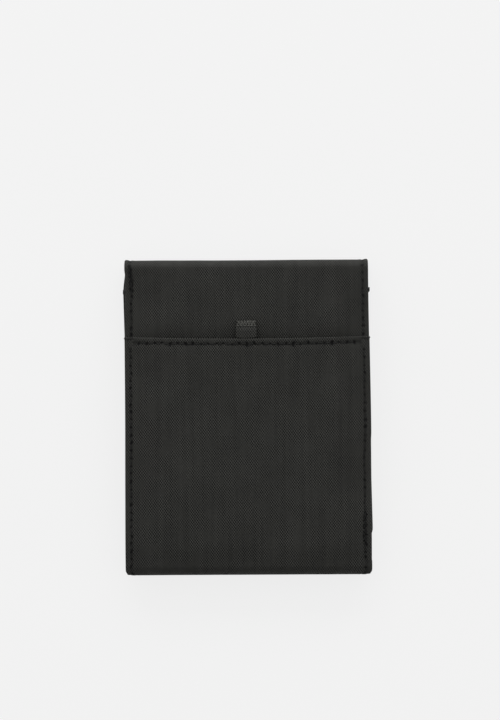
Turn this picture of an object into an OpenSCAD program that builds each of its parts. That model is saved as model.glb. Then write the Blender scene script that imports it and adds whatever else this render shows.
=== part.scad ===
// Passport holder wallet with a full-length flap, lying on the flap with its back uppermost.
// X runs across the wallet, +Y points to the spine that the flap folds over, +Z is up.
// The origin is under the middle of the closed wallet, on the surface it lies on.

/* [Overall] */
// Width over the two side seams
body_w = 105; // [96:1:140]
// Height from the bottom gusset to the spine
body_h = 135; // [128:1:180]
// Radius of the two lower corners of the pouch
corner_r = 2; // [1:0.5:4]

/* [Materials] */
// Outer twill with its backing
shell_t = 0.6; // [0.4:0.1:1]
// Lining cloth
lining_t = 0.4; // [0.3:0.1:0.6]
// Stiffening board sealed in the back and in the flap
board_t = 0.6; // [0.4:0.1:1.2]
// Divider: two plies of lining with a shielding foil between
divider_t = 0.5; // [0.4:0.1:1]

/* [Compartments] */
// Clear depth of the passport compartment
passport_gap = 4.6; // [4.6:0.1:8]
// Clear depth of the coin compartment behind the zip
coin_gap = 1.6; // [1.4:0.1:4]
// Width of the turned and stitched seam at each side
seam_w = 3.5; // [3:0.5:5]
// Radius of the bottom gusset's rolled edges
gusset_r = 4; // [3:0.5:4]

/* [Flap and spine] */
// Distance from the flap's free edge to the wallet's bottom edge
flap_short = 14.5; // [10:0.5:18]
// Radius of the flap's free corners
flap_corner_r = 5; // [2:0.5:8]
// Outer radius of the crease at each edge of the spine
crease_r = 3; // [2.4:0.1:3.5]
// Distance of both fold axes in from the spine's outer face
axis_in = 1.05; // [0.8:0.05:1.3]

/* [Front of the pouch] */
// Drop from the top edge to the mouth of the passport compartment
mouth_drop = 12; // [10:0.5:16]
// Width of the ribbon that binds the mouth
binding_w = 3.2; // [2.6:0.2:4]
// How far the cut ends of the binding stand out of the side seams
binding_nub = 0.5; // [0.2:0.1:1]
// Distance from the mouth down to the middle of the zip
zip_drop = 11.5; // [10:0.5:14]
// Gap between the two cloth edges that show the zip
zip_window = 6; // [5:0.5:8]

/* [Zip] */
// Width of one zip tape
tape_w = 6; // [5:0.5:7]
// Thickness of the tape
tape_t = 0.3; // [0.2:0.1:0.5]
// Width of one coil
coil_w = 1.5; // [1.2:0.1:2]
// Height of the coils
coil_t = 1.2; // [1:0.1:1.4]
// Gap between the coils that the slider's post runs in
coil_split = 1.1; // [1.1:0.1:1.5]
// Length of the slider
slider_l = 8.5; // [7:0.5:10]
// Width of the slider
slider_w = 6.4; // [6:0.2:8]
// Thickness of each slider plate
plate_t = 0.5; // [0.4:0.05:0.6]
// Travel of the slider from closed to open
zip_travel = 78; // [40:1:80]
// Width of the ribbon pull
pull_w = 4; // [3:0.5:5]
// Length of the ribbon pull
pull_l = 20; // [12:1:26]

/* [Card slots] */
// Width of the card slots' cloth
slot_w = 92; // [91:1:94]
// Width of the sewn strip at each side and foot of a slot
slot_seam = 2.4; // [2:0.2:3]
// Depth of a slot, a little less than a card is tall
slot_depth = 50; // [46:1:52]
// Distance from the zip's middle down to the first slot's mouth
slot_drop = 11.5; // [10:0.5:14]
// Step from one slot's mouth to the next
slot_step = 12; // [8:1:14]
// Room for an empty slot to lie flat
slot_gap = 0.2; // [0.1:0.05:0.4]

/* [Closure] */
// Width of the hook and loop patches
patch_w = 46; // [20:1:60]
// Height of the hook and loop patches
patch_h = 15; // [10:1:15]
// Distance from the flap's free edge to the patches
patch_in = 3.8; // [3:0.2:6]
// Thickness of the hook patch
hook_t = 1.4; // [1.2:0.1:2]
// Thickness of the loop patch
loop_t = 1.5; // [1.4:0.1:2]

/* [Back slip pocket] */
// Drop from the top edge to the pocket's mouth
pocket_drop = 33.2; // [30:0.2:45]
// Thickness of the pocket cloth
pocket_t = 0.5; // [0.4:0.1:0.8]
// Room for an empty pocket to lie flat
pocket_gap = 0.3; // [0.2:0.1:0.6]
// Width of the turned hem at the mouth
hem_w = 4.5; // [3.5:0.5:6]

/* [Tab loop] */
// Width of the tab
tab_w = 8.7; // [6:0.1:14]
// Length sewn down under the bar tack
tack_l = 2.9; // [2.5:0.1:5]
// Length that hangs free
tab_free = 3.8; // [3:0.1:12]
// Thickness of one ply of the folded tab
tab_ply = 0.45; // [0.3:0.05:0.7]
// Height of the bar tack's thread
tack_t = 0.25; // [0.15:0.05:0.4]

/* [Stitching] */
// Distance of the topstitching from an edge
stitch_in = 2.5; // [2:0.1:2.8]
// Distance of the pocket's topstitching from its mouth
stitch_mouth = 3; // [2:0.1:3.3]
// Pitch of the stitches
stitch_pitch = 3.3; // [2.5:0.1:4]
// Length of thread that shows in each pitch
stitch_l = 2.5; // [1.8:0.1:2.9]
// Width of the thread
thread_w = 0.5; // [0.3:0.1:0.7]
// Height of the thread above the cloth
thread_t = 0.25; // [0.15:0.05:0.3]

/* [Clearances] */
// Between the hook patch and the loop patch
patch_clear = 0.3; // [0.3:0.1:0.6]
// Between the slider and the zip it runs on
slider_clear = 0.2; // [0.15:0.05:0.3]
// Between cloth pieces on either side of a fold
fold_clear = 0.2; // [0.1:0.05:0.4]
// Between the tab's free end and the pocket's mouth
tab_clear = 0.3; // [0.2:0.1:1]

/* [Hidden] */
// Levels, from the surface the wallet lies on up to its back
flap_t = shell_t + board_t + lining_t;
z_front = flap_t + hook_t + patch_clear + loop_t;
z_coin = z_front + shell_t;
z_divider = z_coin + coin_gap;
z_passport = z_divider + divider_t;
z_back_lining = z_passport + passport_gap;
z_back_board = z_back_lining + lining_t;
z_back_shell = z_back_board + board_t;
z_back = z_back_shell + shell_t;
z_pocket = z_back + pocket_gap + pocket_t;
tab_t = 2 * tab_ply + fold_clear;
z_tab = z_back + tab_t + tack_t;

// Places along Y
y_top = body_h / 2;
y_bottom = -y_top;
y_crease = y_top - crease_r;
y_gusset = y_bottom + gusset_r;
y_mouth = y_top - mouth_drop;
y_zip = y_mouth - zip_drop;
y_yoke = y_zip + zip_window / 2;
y_panel = y_zip - zip_window / 2;
y_pocket = y_top - pocket_drop;
y_flap_end = y_bottom + flap_short;
y_patch = y_flap_end + patch_in + patch_h / 2;
y_tab_end = y_pocket + tab_clear;
y_tab_hinge = y_tab_end + tab_free;
y_slot = y_zip - slot_drop;

// Inside widths
inner_w = body_w - 2 * seam_w;
x_seam = body_w / 2 - stitch_in;
spine_t = shell_t + lining_t;

// Fold axes: each crease turns about a line just inside the spine's outer face, placed so that the
// opened pouch lies on its own pocket and tab
y_axis = y_top - axis_in;
axis_sum = z_tab;
z_axis_flap = (axis_sum - (z_back - 2 * axis_in)) / 2;
z_axis_back = axis_sum - z_axis_flap;

// Zip levels: the coils stand out of the tape towards the flap
z_tape = z_coin;
z_coil = z_tape - coil_t;
coil_x = inner_w / 2 - 1;
z_plate_low = z_coil - slider_clear - plate_t;
z_plate_high = z_tape + tape_t + slider_clear;
x_closed = zip_travel / 2;
post_w = coil_split - 2 * slider_clear;
bridge_t = 0.4;
bridge_w = 2.2;
bridge_rise = 0.6;
pull_t = 0.4;
stop_l = 1.6;

twill = [0.17, 0.17, 0.165];
twill_dark = [0.14, 0.14, 0.14];
lining_grey = [0.22, 0.22, 0.23];
thread_black = [0.06, 0.06, 0.06];
ribbon_black = [0.1, 0.1, 0.1];
board_white = [0.75, 0.74, 0.7];
foil_grey = [0.45, 0.46, 0.48];
metal_black = [0.2, 0.2, 0.21];

// ---- shared shapes ----

// A flat cloth or board between two corners
module slab(low, high) {
  translate(low) cube(high - low);
}

// The lower outline of the pouch: a rectangle with its two lower corners rounded
module lower_round(width, low, high, radius) {
  translate([-width / 2, low + radius]) square([width, high - low - radius]);
  translate([-width / 2 + radius, low]) square([width - 2 * radius, radius + 1]);
  for (side = [-1, 1])
    translate([side * (width / 2 - radius), low + radius]) circle(r = radius, $fn = 48);
}

// A slip pocket sewn to the piece below it: cloth with sewn strips at both sides and its foot.
// The hollow is open at the mouth, on the +Y side, and on the side that faces -Z
module slip_pocket(width, foot, mouth, cloth, gap, strip) {
  difference() {
    slab([-width / 2, foot, 0], [width / 2, mouth, cloth + gap]);
    slab([-width / 2 + strip, foot + strip, -1], [width / 2 - strip, mouth + 1, gap]);
  }
}

// Stitches in a row along Y on a level face
module stitches_y(x, low, high, z) {
  count = floor((high - low) / stitch_pitch);
  for (i = [0 : count - 1])
    translate([x - thread_w / 2, low + i * stitch_pitch, z]) cube([thread_w, stitch_l, thread_t]);
}

// Stitches in a row along X, centred on the wallet
module stitches_x(width, y, z) {
  count = floor(width / stitch_pitch);
  for (i = [0 : count - 1])
    translate([(i - count / 2) * stitch_pitch, y - thread_w / 2, z])
      cube([stitch_l, thread_w, thread_t]);
}

// A quarter turn of cloth, swept across the wallet, round the X line at (y, z)
module quarter_roll(y, z, outer, thick, upper) {
  translate([-body_w / 2, y, z]) rotate([90, 0, 90]) linear_extrude(body_w)
    intersection() {
      difference() {
        circle(r = outer, $fn = 64);
        circle(r = outer - thick, $fn = 64);
      }
      translate([0, upper ? 0 : -outer]) square(outer);
    }
}

// ---- flap: the part that the wallet lies on ----

module flap_ply(inset, low, high) {
  translate([0, 0, low]) linear_extrude(high - low)
    lower_round(body_w - 2 * inset, y_flap_end + inset, y_crease, max(flap_corner_r - inset, 0.5));
}

module flap_outer() {
  color(twill) difference() {
    flap_ply(0, 0, shell_t + board_t);
    flap_ply(seam_w, shell_t, shell_t + board_t + 1);
  }
}

module flap_board() {
  color(board_white) translate([0, 0, shell_t]) linear_extrude(board_t)
    lower_round(body_w - 2 * seam_w, y_flap_end + seam_w, y_crease,
      max(flap_corner_r - seam_w, 0.5));
}

module flap_lining() {
  color(lining_grey) flap_ply(0, shell_t + board_t, flap_t);
}

module flap_pocket() {
  color(lining_grey) translate([0, 0, flap_t]) slip_pocket(
    slot_w, y_patch + patch_h / 2 + slot_seam, y_panel - slot_drop, lining_t, slot_gap, slot_seam);
}

module flap_hook_patch() {
  color(thread_black) slab([-patch_w / 2, y_patch - patch_h / 2, flap_t],
    [patch_w / 2, y_patch + patch_h / 2, flap_t + hook_t]);
}

module flap_topstitch() {
  color(thread_black) {
    for (side = [-1, 1])
      stitches_y(side * x_seam, y_flap_end + flap_corner_r, y_crease, flap_t);
    stitches_x(body_w - 2 * flap_corner_r, y_flap_end + stitch_in, flap_t);
  }
}

// ---- spine and its two creases ----

module flap_crease() {
  color(twill) quarter_roll(y_crease, crease_r, crease_r, spine_t, false);
}

module spine_outer() {
  color(twill) slab([-body_w / 2, y_top - shell_t, crease_r],
    [body_w / 2, y_top, z_back - crease_r]);
}

module spine_lining() {
  color(lining_grey) slab([-body_w / 2, y_top - spine_t, crease_r],
    [body_w / 2, y_top - shell_t, z_back - crease_r]);
}

module back_crease() {
  color(twill) quarter_roll(y_crease, z_back - crease_r, crease_r, spine_t, true);
}

// ---- pouch: back ----

module back_panel() {
  color(twill) slab([-body_w / 2, y_gusset, z_back_shell], [body_w / 2, y_crease, z_back]);
}

module back_board() {
  color(board_white) slab([-inner_w / 2, y_gusset, z_back_board],
    [inner_w / 2, y_crease - fold_clear, z_back_shell]);
}

module back_lining() {
  color(lining_grey) slab([-inner_w / 2, y_gusset, z_back_lining],
    [inner_w / 2, y_crease - fold_clear, z_back_board]);
}

module back_slip_pocket() {
  color(twill) translate([0, 0, z_back]) {
    slip_pocket(body_w, y_gusset, y_pocket, pocket_t, pocket_gap, seam_w);
    // the hem's turned ply
    slab([-body_w / 2 + seam_w, y_pocket - hem_w, pocket_gap / 2],
      [body_w / 2 - seam_w, y_pocket, pocket_gap]);
  }
}

module pocket_topstitch() {
  color(thread_black) stitches_x(inner_w, y_pocket - stitch_mouth, z_pocket);
}

// ---- pouch: sides and bottom ----

// The turned edges of the back, the divider, the front and the gusset, bound together
module side_seam(side) {
  x_low = side > 0 ? inner_w / 2 : -body_w / 2;
  color(twill_dark) {
    slab([x_low, y_gusset, z_coin], [x_low + seam_w, y_mouth - binding_w, z_back_shell]);
    intersection() {
      translate([x_low, 0, 0]) rotate([90, 0, 90]) linear_extrude(seam_w)
        gusset_outline(shell_t);
      linear_extrude(z_back) lower_round(body_w, y_bottom, y_gusset, corner_r);
    }
  }
}

module side_seam_left() { side_seam(-1); }
module side_seam_right() { side_seam(1); }

module side_topstitch(side) {
  // the same thread shows on the pocket, on the back above it and on the front
  color(thread_black) {
    stitches_y(side * x_seam, y_gusset, y_pocket - stitch_in, z_pocket);
    stitches_y(side * x_seam, y_pocket + stitch_in, y_crease, z_back);
    stitches_y(side * x_seam, y_gusset, y_panel - stitch_in, z_front - thread_t);
  }
}

module side_topstitch_left() { side_topstitch(-1); }
module side_topstitch_right() { side_topstitch(1); }

module bottom_gusset() {
  color(twill) intersection() {
    translate([-body_w / 2, 0, 0]) rotate([90, 0, 90]) linear_extrude(body_w) difference() {
      gusset_outline(0);
      gusset_outline(shell_t);
    }
    linear_extrude(z_back) lower_round(body_w, y_bottom, y_gusset, corner_r);
  }
}

// The bottom strip's section in Y and Z, rolled into the front and the back
module gusset_outline(inset) {
  radius = gusset_r - inset;
  for (z = [z_front + gusset_r, z_back - gusset_r]) intersection() {
    translate([y_gusset, z]) circle(r = radius, $fn = 64);
    translate([y_bottom, z_front]) square([gusset_r, z_back - z_front]);
  }
  translate([y_bottom + inset, z_front + gusset_r])
    square([radius, z_back - z_front - 2 * gusset_r]);
}

module divider() {
  color(foil_grey) slab([-inner_w / 2, y_gusset, z_divider],
    [inner_w / 2, y_mouth - binding_w, z_passport]);
}

// ---- pouch: front, under the flap ----

module front_yoke() {
  color(twill) slab([-body_w / 2, y_yoke, z_front], [body_w / 2, y_mouth - binding_w, z_coin]);
}

module front_panel() {
  color(twill) slab([-body_w / 2, y_gusset, z_front], [body_w / 2, y_panel, z_coin]);
}

module mouth_binding() {
  // a folded ribbon that closes the yoke, the coin compartment and the divider
  color(ribbon_black) {
    slab([-body_w / 2 - binding_nub, y_mouth - binding_w, z_front],
      [body_w / 2 + binding_nub, y_mouth, z_passport]);
  }
}

module zip_tape(low, high) {
  slab([-inner_w / 2, low, z_tape], [inner_w / 2, high, z_tape + tape_t]);
}

module zip_tape_upper() {
  color(ribbon_black) zip_tape(y_zip + coil_split / 2, y_zip + coil_split / 2 + tape_w);
}

module zip_tape_lower() {
  color(ribbon_black) zip_tape(y_zip - coil_split / 2 - tape_w, y_zip - coil_split / 2);
}

module zip_coil(low) {
  slab([-coil_x, low, z_coil], [coil_x, low + coil_w, z_tape]);
}

module zip_coil_upper() {
  color(thread_black) zip_coil(y_zip + coil_split / 2);
}

module zip_coil_lower() {
  color(thread_black) zip_coil(y_zip - coil_split / 2 - coil_w);
}

module zip_stop(x) {
  color(metal_black) slab([x - stop_l / 2, y_zip - coil_split / 2, z_coil],
    [x + stop_l / 2, y_zip + coil_split / 2, z_tape + tape_t]);
}

module zip_stop_closed() { zip_stop(x_closed + slider_l / 2 + stop_l); }
module zip_stop_open() { zip_stop(x_closed - zip_travel - slider_l / 2 - stop_l); }

module slider_plate(z) {
  // a plate with its nose towards the closed end
  translate([x_closed, y_zip, z]) linear_extrude(plate_t) {
    translate([-slider_l / 2, -slider_w / 2]) square([slider_l - slider_w / 2, slider_w]);
    translate([slider_l / 2 - slider_w / 2, 0]) circle(d = slider_w, $fn = 48);
  }
}

module zip_slider() {
  color(metal_black) {
    slider_plate(z_plate_low);
    slider_plate(z_plate_high);
    // post between the coils
    slab([x_closed, y_zip - post_w / 2, z_plate_low],
      [x_closed + slider_l / 4, y_zip + post_w / 2, z_plate_high + plate_t]);
    // bridge that the pull hangs in
    slab([x_closed - slider_l / 3, y_zip - bridge_w / 2, z_plate_low - bridge_rise - bridge_t],
      [x_closed + slider_l / 4, y_zip + bridge_w / 2, z_plate_low - bridge_rise]);
    for (x = [x_closed - slider_l / 3, x_closed + slider_l / 4 - bridge_t])
      slab([x, y_zip - bridge_w / 2, z_plate_low - bridge_rise - bridge_t],
        [x + bridge_t, y_zip + bridge_w / 2, z_plate_low]);
  }
}

module zip_pull_ribbon() {
  // looped through the bridge and sewn into a flat tail that lies down the front
  x_mid = x_closed - slider_l / 24;
  color(ribbon_black) slab([x_mid - pull_w / 2, y_zip - pull_l, z_plate_low - bridge_rise],
    [x_mid + pull_w / 2, y_zip + bridge_w / 2, z_plate_low - bridge_rise + pull_t]);
}

module card_slot_upper() {
  color(lining_grey) translate([0, 0, z_front]) mirror([0, 0, 1])
    slip_pocket(slot_w, y_slot - slot_depth, y_slot, lining_t, slot_gap, slot_seam);
}

module card_slot_lower() {
  slot_t = lining_t + slot_gap;
  mouth = y_slot - slot_step;
  color(lining_grey) {
    translate([0, 0, z_front - slot_t]) mirror([0, 0, 1])
      slip_pocket(slot_w, mouth - slot_depth, mouth, lining_t, slot_gap, slot_seam);
    slab([-slot_w / 2, mouth - slot_depth, z_front - slot_t],
      [slot_w / 2, y_slot - slot_depth, z_front]);
  }
}

module card_slot_topstitch() {
  slot_t = lining_t + slot_gap;
  color(thread_black) {
    stitches_x(slot_w, y_slot - stitch_in, z_front - slot_t - thread_t);
    stitches_x(slot_w, y_slot - slot_step - stitch_in, z_front - 2 * slot_t - thread_t);
    stitches_x(slot_w, y_slot - slot_step - slot_depth + slot_seam / 2,
      z_front - 2 * slot_t - thread_t);
  }
}

module front_loop_patch() {
  color(thread_black) slab([-patch_w / 2, y_patch - patch_h / 2, z_front - loop_t],
    [patch_w / 2, y_patch + patch_h / 2, z_front]);
}

// ---- tab loop on the back ----

module tab_anchor() {
  color(twill) slab([-tab_w / 2, y_tab_hinge + fold_clear, z_back],
    [tab_w / 2, y_tab_hinge + fold_clear + tack_l, z_back + tab_t]);
}

module tab_bartack() {
  color(thread_black) slab([-tab_w / 2, y_tab_hinge + fold_clear, z_back + tab_t],
    [tab_w / 2, y_tab_hinge + fold_clear + tack_l, z_tab]);
}

module tab_loop() {
  // a folded strip: two plies joined by a rounded end, open across the wallet
  loop_r = tab_t / 2;
  y_round = y_tab_end + loop_r;
  color(twill) translate([-tab_w / 2, 0, 0]) rotate([90, 0, 90]) linear_extrude(tab_w)
    difference() {
      union() {
        translate([y_round, z_back]) square([y_tab_hinge - fold_clear - y_round, tab_t]);
        translate([y_round, z_back + loop_r]) circle(r = loop_r, $fn = 32);
      }
      translate([y_round, z_back + tab_ply])
        square([y_tab_hinge - y_round, tab_t - 2 * tab_ply]);
    }
}

flap_outer();
flap_board();
flap_lining();
flap_pocket();
flap_hook_patch();
flap_topstitch();
flap_crease();
spine_outer();
spine_lining();
back_crease();
back_panel();
back_board();
back_lining();
back_slip_pocket();
pocket_topstitch();
side_seam_left();
side_seam_right();
side_topstitch_left();
side_topstitch_right();
bottom_gusset();
divider();
front_yoke();
front_panel();
mouth_binding();
zip_tape_upper();
zip_tape_lower();
zip_coil_upper();
zip_coil_lower();
zip_stop_closed();
zip_stop_open();
zip_slider();
zip_pull_ribbon();
card_slot_upper();
card_slot_lower();
card_slot_topstitch();
front_loop_patch();
tab_anchor();
tab_bartack();
tab_loop();
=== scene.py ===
import math

import bmesh
import bpy
from mathutils import Matrix, Vector, noise


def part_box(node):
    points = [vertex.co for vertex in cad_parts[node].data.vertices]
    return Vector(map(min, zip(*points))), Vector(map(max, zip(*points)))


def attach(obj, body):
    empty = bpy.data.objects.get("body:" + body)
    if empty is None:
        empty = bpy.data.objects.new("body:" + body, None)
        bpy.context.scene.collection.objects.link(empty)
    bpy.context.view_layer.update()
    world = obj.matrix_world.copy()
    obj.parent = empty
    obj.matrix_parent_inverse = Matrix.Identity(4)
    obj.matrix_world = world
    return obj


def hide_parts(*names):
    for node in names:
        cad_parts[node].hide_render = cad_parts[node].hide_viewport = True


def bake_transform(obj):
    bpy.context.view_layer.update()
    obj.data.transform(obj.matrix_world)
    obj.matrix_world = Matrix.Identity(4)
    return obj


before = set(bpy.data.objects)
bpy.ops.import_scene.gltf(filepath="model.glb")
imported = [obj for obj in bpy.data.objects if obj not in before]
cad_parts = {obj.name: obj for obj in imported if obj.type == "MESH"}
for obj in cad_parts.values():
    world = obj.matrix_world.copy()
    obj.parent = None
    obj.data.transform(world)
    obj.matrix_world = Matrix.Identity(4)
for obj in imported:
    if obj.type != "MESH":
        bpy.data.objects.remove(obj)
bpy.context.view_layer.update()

MM = 0.001

# ---------------------------------------------------------------------------------------------
# Studio: a pale floor lit from below, one broad soft light past the wallet's spine and a surround
# that is brighter on that side, with the camera over the wallet's back.


def linear(colour):
    """A linear colour from an sRGB hex value."""
    parts = [int(colour[i : i + 2], 16) / 255 for i in (0, 2, 4)]
    return [p / 12.92 if p <= 0.04045 else ((p + 0.055) / 1.055) ** 2.4 for p in parts] + [1]


def add(tree, kind, inputs=None, **settings):
    """Adds a node, gives it its settings, and sets or links its inputs."""
    made = tree.nodes.new(kind)
    for key, value in settings.items():
        setattr(made, key, value)
    for key, value in (inputs or {}).items():
        if isinstance(value, bpy.types.NodeSocket):
            tree.links.new(value, made.inputs[key])
        else:
            made.inputs[key].default_value = value
    return made


def new_material(name, **sockets):
    """A material with one Principled shader, whose constants are set on its own sockets."""
    made = bpy.data.materials.new(name)
    made.use_nodes = True
    made.node_tree.nodes.clear()
    constants = {key.replace("_", " "): value for key, value in sockets.items()}
    shader = add(made.node_tree, "ShaderNodeBsdfPrincipled", constants)
    add(made.node_tree, "ShaderNodeOutputMaterial", {"Surface": shader.outputs[0]})
    return made, made.node_tree, shader


# Opal sheet over a light table: matt, pale, and lit from below, so that shadows on it stay faint
opal, tree, shader = new_material("opal_sheet", Roughness=0.95, Specular_IOR_Level=0.0,
                                  Emission_Strength=0.80)
shader.inputs["Emission Color"].default_value = (1, 1, 1, 1)
place = add(tree, "ShaderNodeTexCoord")
mottle = add(tree, "ShaderNodeTexNoise", {"Vector": place.outputs["Object"], "Scale": 6.0, "Detail": 3.0})
tone = add(tree, "ShaderNodeValToRGB", {"Fac": mottle.outputs["Fac"]})
tone.color_ramp.elements[0].color = linear("585858")
tone.color_ramp.elements[1].color = linear("5c5c5c")
tree.links.new(tone.outputs["Color"], shader.inputs["Base Color"])

FLOOR_SIZE = 8.0
bm = bmesh.new()
bmesh.ops.create_grid(bm, x_segments=2, y_segments=2, size=FLOOR_SIZE / 2)
mesh = bpy.data.meshes.new("floor")
bm.to_mesh(mesh)
bm.free()
mesh.materials.append(opal)
floor = bpy.data.objects.new("floor", mesh)
bpy.context.collection.objects.link(floor)

# The room is brighter past the wallet's spine than on the near side
surround = bpy.data.worlds.new("surround")
surround.use_nodes = True
sky = surround.node_tree
place = add(sky, "ShaderNodeTexCoord")
apart = add(sky, "ShaderNodeSeparateXYZ", {0: place.outputs["Generated"]})
glow = add(sky, "ShaderNodeMapRange", {"Value": apart.outputs["Y"], "From Min": -1.0, "From Max": 1.0,
                                       "To Min": 0.28, "To Max": 1.12})
sky.nodes["Background"].inputs["Color"].default_value = linear("f2f2f2")
sky.links.new(glow.outputs["Result"], sky.nodes["Background"].inputs["Strength"])
bpy.context.scene.world = surround
bpy.context.scene.view_settings.view_transform = "Standard"

soft_box = bpy.data.lights.new("soft_box", "AREA")
soft_box.shape = "RECTANGLE"
soft_box.size = 1.6
soft_box.size_y = 0.6
soft_box.energy = 13.0
lamp = bpy.data.objects.new("soft_box", soft_box)
lamp.location = (0.0, 1.2, 0.55)
lamp.rotation_euler = (-lamp.location).to_track_quat("-Z", "Y").to_euler()
bpy.context.collection.objects.link(lamp)

CAMERA_AIM = Vector((0.9, 24.1, 14.5)) * MM
CAMERA_DISTANCE = 0.95
CAMERA_TILT = math.radians(3.0)
CAMERA_ROLL = math.radians(0.3)
VIEW_HEIGHT = 307.6 * MM
lens = bpy.data.cameras.new("camera")
lens.lens = lens.sensor_width * CAMERA_DISTANCE / VIEW_HEIGHT
camera = bpy.data.objects.new("camera", lens)
turned = Matrix.Rotation(CAMERA_TILT, 4, "X") @ Matrix.Rotation(-CAMERA_ROLL, 4, "Z")
back_off = Matrix.Translation((0, 0, CAMERA_DISTANCE))
camera.matrix_world = Matrix.Translation(CAMERA_AIM) @ turned @ back_off
bpy.context.collection.objects.link(camera)
bpy.context.scene.camera = camera

# ---------------------------------------------------------------------------------------------
# Flap, outside: black nylon twill, cut in one with the spine and the back. Its edges are turned in
# round a board and topstitched, and it rolls up into the spine at a soft crease.

flap_low, flap_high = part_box("flap_outer")
HALF = flap_high.x
Y_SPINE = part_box("spine_outer")[1].y
Z_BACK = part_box("back_panel")[1].z
Z_SPINE = Z_BACK / 2
CLOTH = 0.35 * MM
HEM_R = 0.6 * MM
HEM_TURN = 5.0 * MM
STITCH_IN = 2.5 * MM
PITCH = 3.3 * MM
CREASE_R = 4.0 * MM
FLAP_CORNER = 5.0 * MM
FLAP_SKEW = 0.020
LEAN = 0.55 * MM


def smooth(value, low, high):
    """0 up to low and 1 from high, with an easy change between."""
    t = min(1.0, max(0.0, (value - low) / (high - low)))
    return t * t * (3 - 2 * t)


def bump_at(value, middle, width):
    """1 at the middle, fading to nothing past the width on either side."""
    return math.exp(-(((value - middle) / width) ** 2))


def walk(start, heading, legs):
    """A strip's section in Y and Z, made of legs of (length, turn in degrees). Gives a function from
    the length along the strip to a point on its face and the direction that the face looks in."""

    def at(s):
        y, z = start
        angle = math.radians(heading)
        for i, (length, turn) in enumerate(legs):
            part = s if i == len(legs) - 1 else min(s, length)
            bend = math.radians(turn) / length * part
            if abs(bend) > 1e-9:
                y += part / bend * (math.sin(angle + bend) - math.sin(angle))
                z -= part / bend * (math.cos(angle + bend) - math.cos(angle))
            else:
                y += part * math.cos(angle)
                z += part * math.sin(angle)
            angle += bend
            s -= part
            if s <= 0:
                break
        return Vector((0, y, z)), Vector((0, math.sin(angle), -math.cos(angle)))

    return at


def laying(section, half, radius=HEM_R, relief=None, settle=None):
    """Where a point of the cut cloth ends up: its side edges are turned under, it is folded along
    its section, relief lifts its face there, and settle gives the whole layer its soft form."""

    def lie(u, s):
        past = abs(u) - (half - radius)
        x, depth = abs(u), 0.0
        if past > math.pi * radius:
            x, depth = half - radius - (past - math.pi * radius), 2 * radius
        elif past > 0:
            x = half - radius + radius * math.sin(past / radius)
            depth = radius * (1 - math.cos(past / radius))
        point, out = section(s)
        point.x = math.copysign(x, u)
        point -= out * depth
        if relief:
            point += out * relief(point, s)
        return settle(point) if settle else point

    return lie


def turn_lines(half, radius=HEM_R, steps=6):
    """Where cloth of that finished half width needs lines of points across its turned side edges."""
    flat = half - radius
    return [side * (flat + math.pi * radius * i / steps) for i in range(steps + 1) for side in (-1, 1)]


def bend_lines(legs, steps=8):
    """Where along a strip its curved legs need lines of points."""
    lines, s = [], 0.0
    for length, turn in legs:
        if turn:
            lines += [s + length * i / steps for i in range(steps + 1)]
        s += length
    return lines


def piece_from(bm, name, finish, thickness=0.0):
    """Makes the piece from its mesh. Cloth gets its thickness on the inner side."""
    mesh = bpy.data.meshes.new(name)
    bm.to_mesh(mesh)
    bm.free()
    made = bpy.data.objects.new(name, mesh)
    bpy.context.collection.objects.link(made)
    if thickness:
        wall = made.modifiers.new("thickness", "SOLIDIFY")
        wall.thickness = thickness
        bpy.context.view_layer.update()
        solid = made.evaluated_get(bpy.context.evaluated_depsgraph_get())
        made.data = bpy.data.meshes.new_from_object(solid)
        made.modifiers.clear()
        bpy.data.meshes.remove(mesh)
        made.data.name = name
    for face in made.data.polygons:
        face.use_smooth = True
    made.data.set_sharp_from_angle(angle=math.radians(55))
    made.data.materials.clear()
    made.data.materials.append(finish)
    return made


def cloth(name, finish, lie, width, length, across=(), along=(), step=1.2 * MM, thickness=CLOTH):
    """Cuts cloth flat, gives it a map of its own in millimetres, and lays it in place. Across and
    along are where it needs lines of points to turn sharply."""
    bm = bmesh.new()
    columns, rows = max(2, round(width / step)), max(2, round(length / step))
    bmesh.ops.create_grid(bm, x_segments=columns, y_segments=rows, size=0.5)
    bmesh.ops.scale(bm, vec=(width, length, 1), verts=bm.verts)
    bmesh.ops.translate(bm, vec=(0, length / 2, 0), verts=bm.verts)
    for places, normal in ((across, Vector((1, 0, 0))), (along, Vector((0, 1, 0)))):
        for one in places:
            geom = bm.verts[:] + bm.edges[:] + bm.faces[:]
            bmesh.ops.bisect_plane(bm, geom=geom, dist=1e-6, plane_co=normal * one, plane_no=normal)
    chart = bm.loops.layers.uv.new("cloth")
    for face in bm.faces:
        for corner in face.loops:
            corner[chart].uv = (corner.vert.co.x / MM, corner.vert.co.y / MM)
    for vert in bm.verts:
        vert.co = lie(vert.co.x, vert.co.y)
    bmesh.ops.reverse_faces(bm, faces=bm.faces[:])
    return piece_from(bm, name, finish, thickness)


def slack(point, strength):
    """The faint waves that soft cloth keeps."""
    x, y = point.x / MM, point.y / MM
    broad = noise.noise(Vector((x / 30, y / 44, point.z / MM / 9)))
    small = noise.noise(Vector((x / 8, y / 12, 4.1)))
    return strength * (0.75 * broad + 0.25 * small)


def hem_relief(inward):
    """A turned edge stands a little proud, and its topstitching pulls a groove into it."""
    ridge = 0.15 * (1 - smooth(inward / MM, 3.0, 4.2))
    return (ridge - 0.25 * bump_at(inward, STITCH_IN, 0.45 * MM)) * MM


def seam_row(runs, place, holes_from, pitch=PITCH, low=None, high=None):
    """A row of needle holes on a cloth's map, in millimetres, where the twill is given painted shade. It runs
    down both sides, the left or the right side at that distance from the middle line, or across the cloth at
    that length, and from low to high where they are given."""
    limits = None if low is None else (low / MM, high / MM)
    return runs, place / MM, holes_from / MM, pitch / MM, limits


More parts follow.
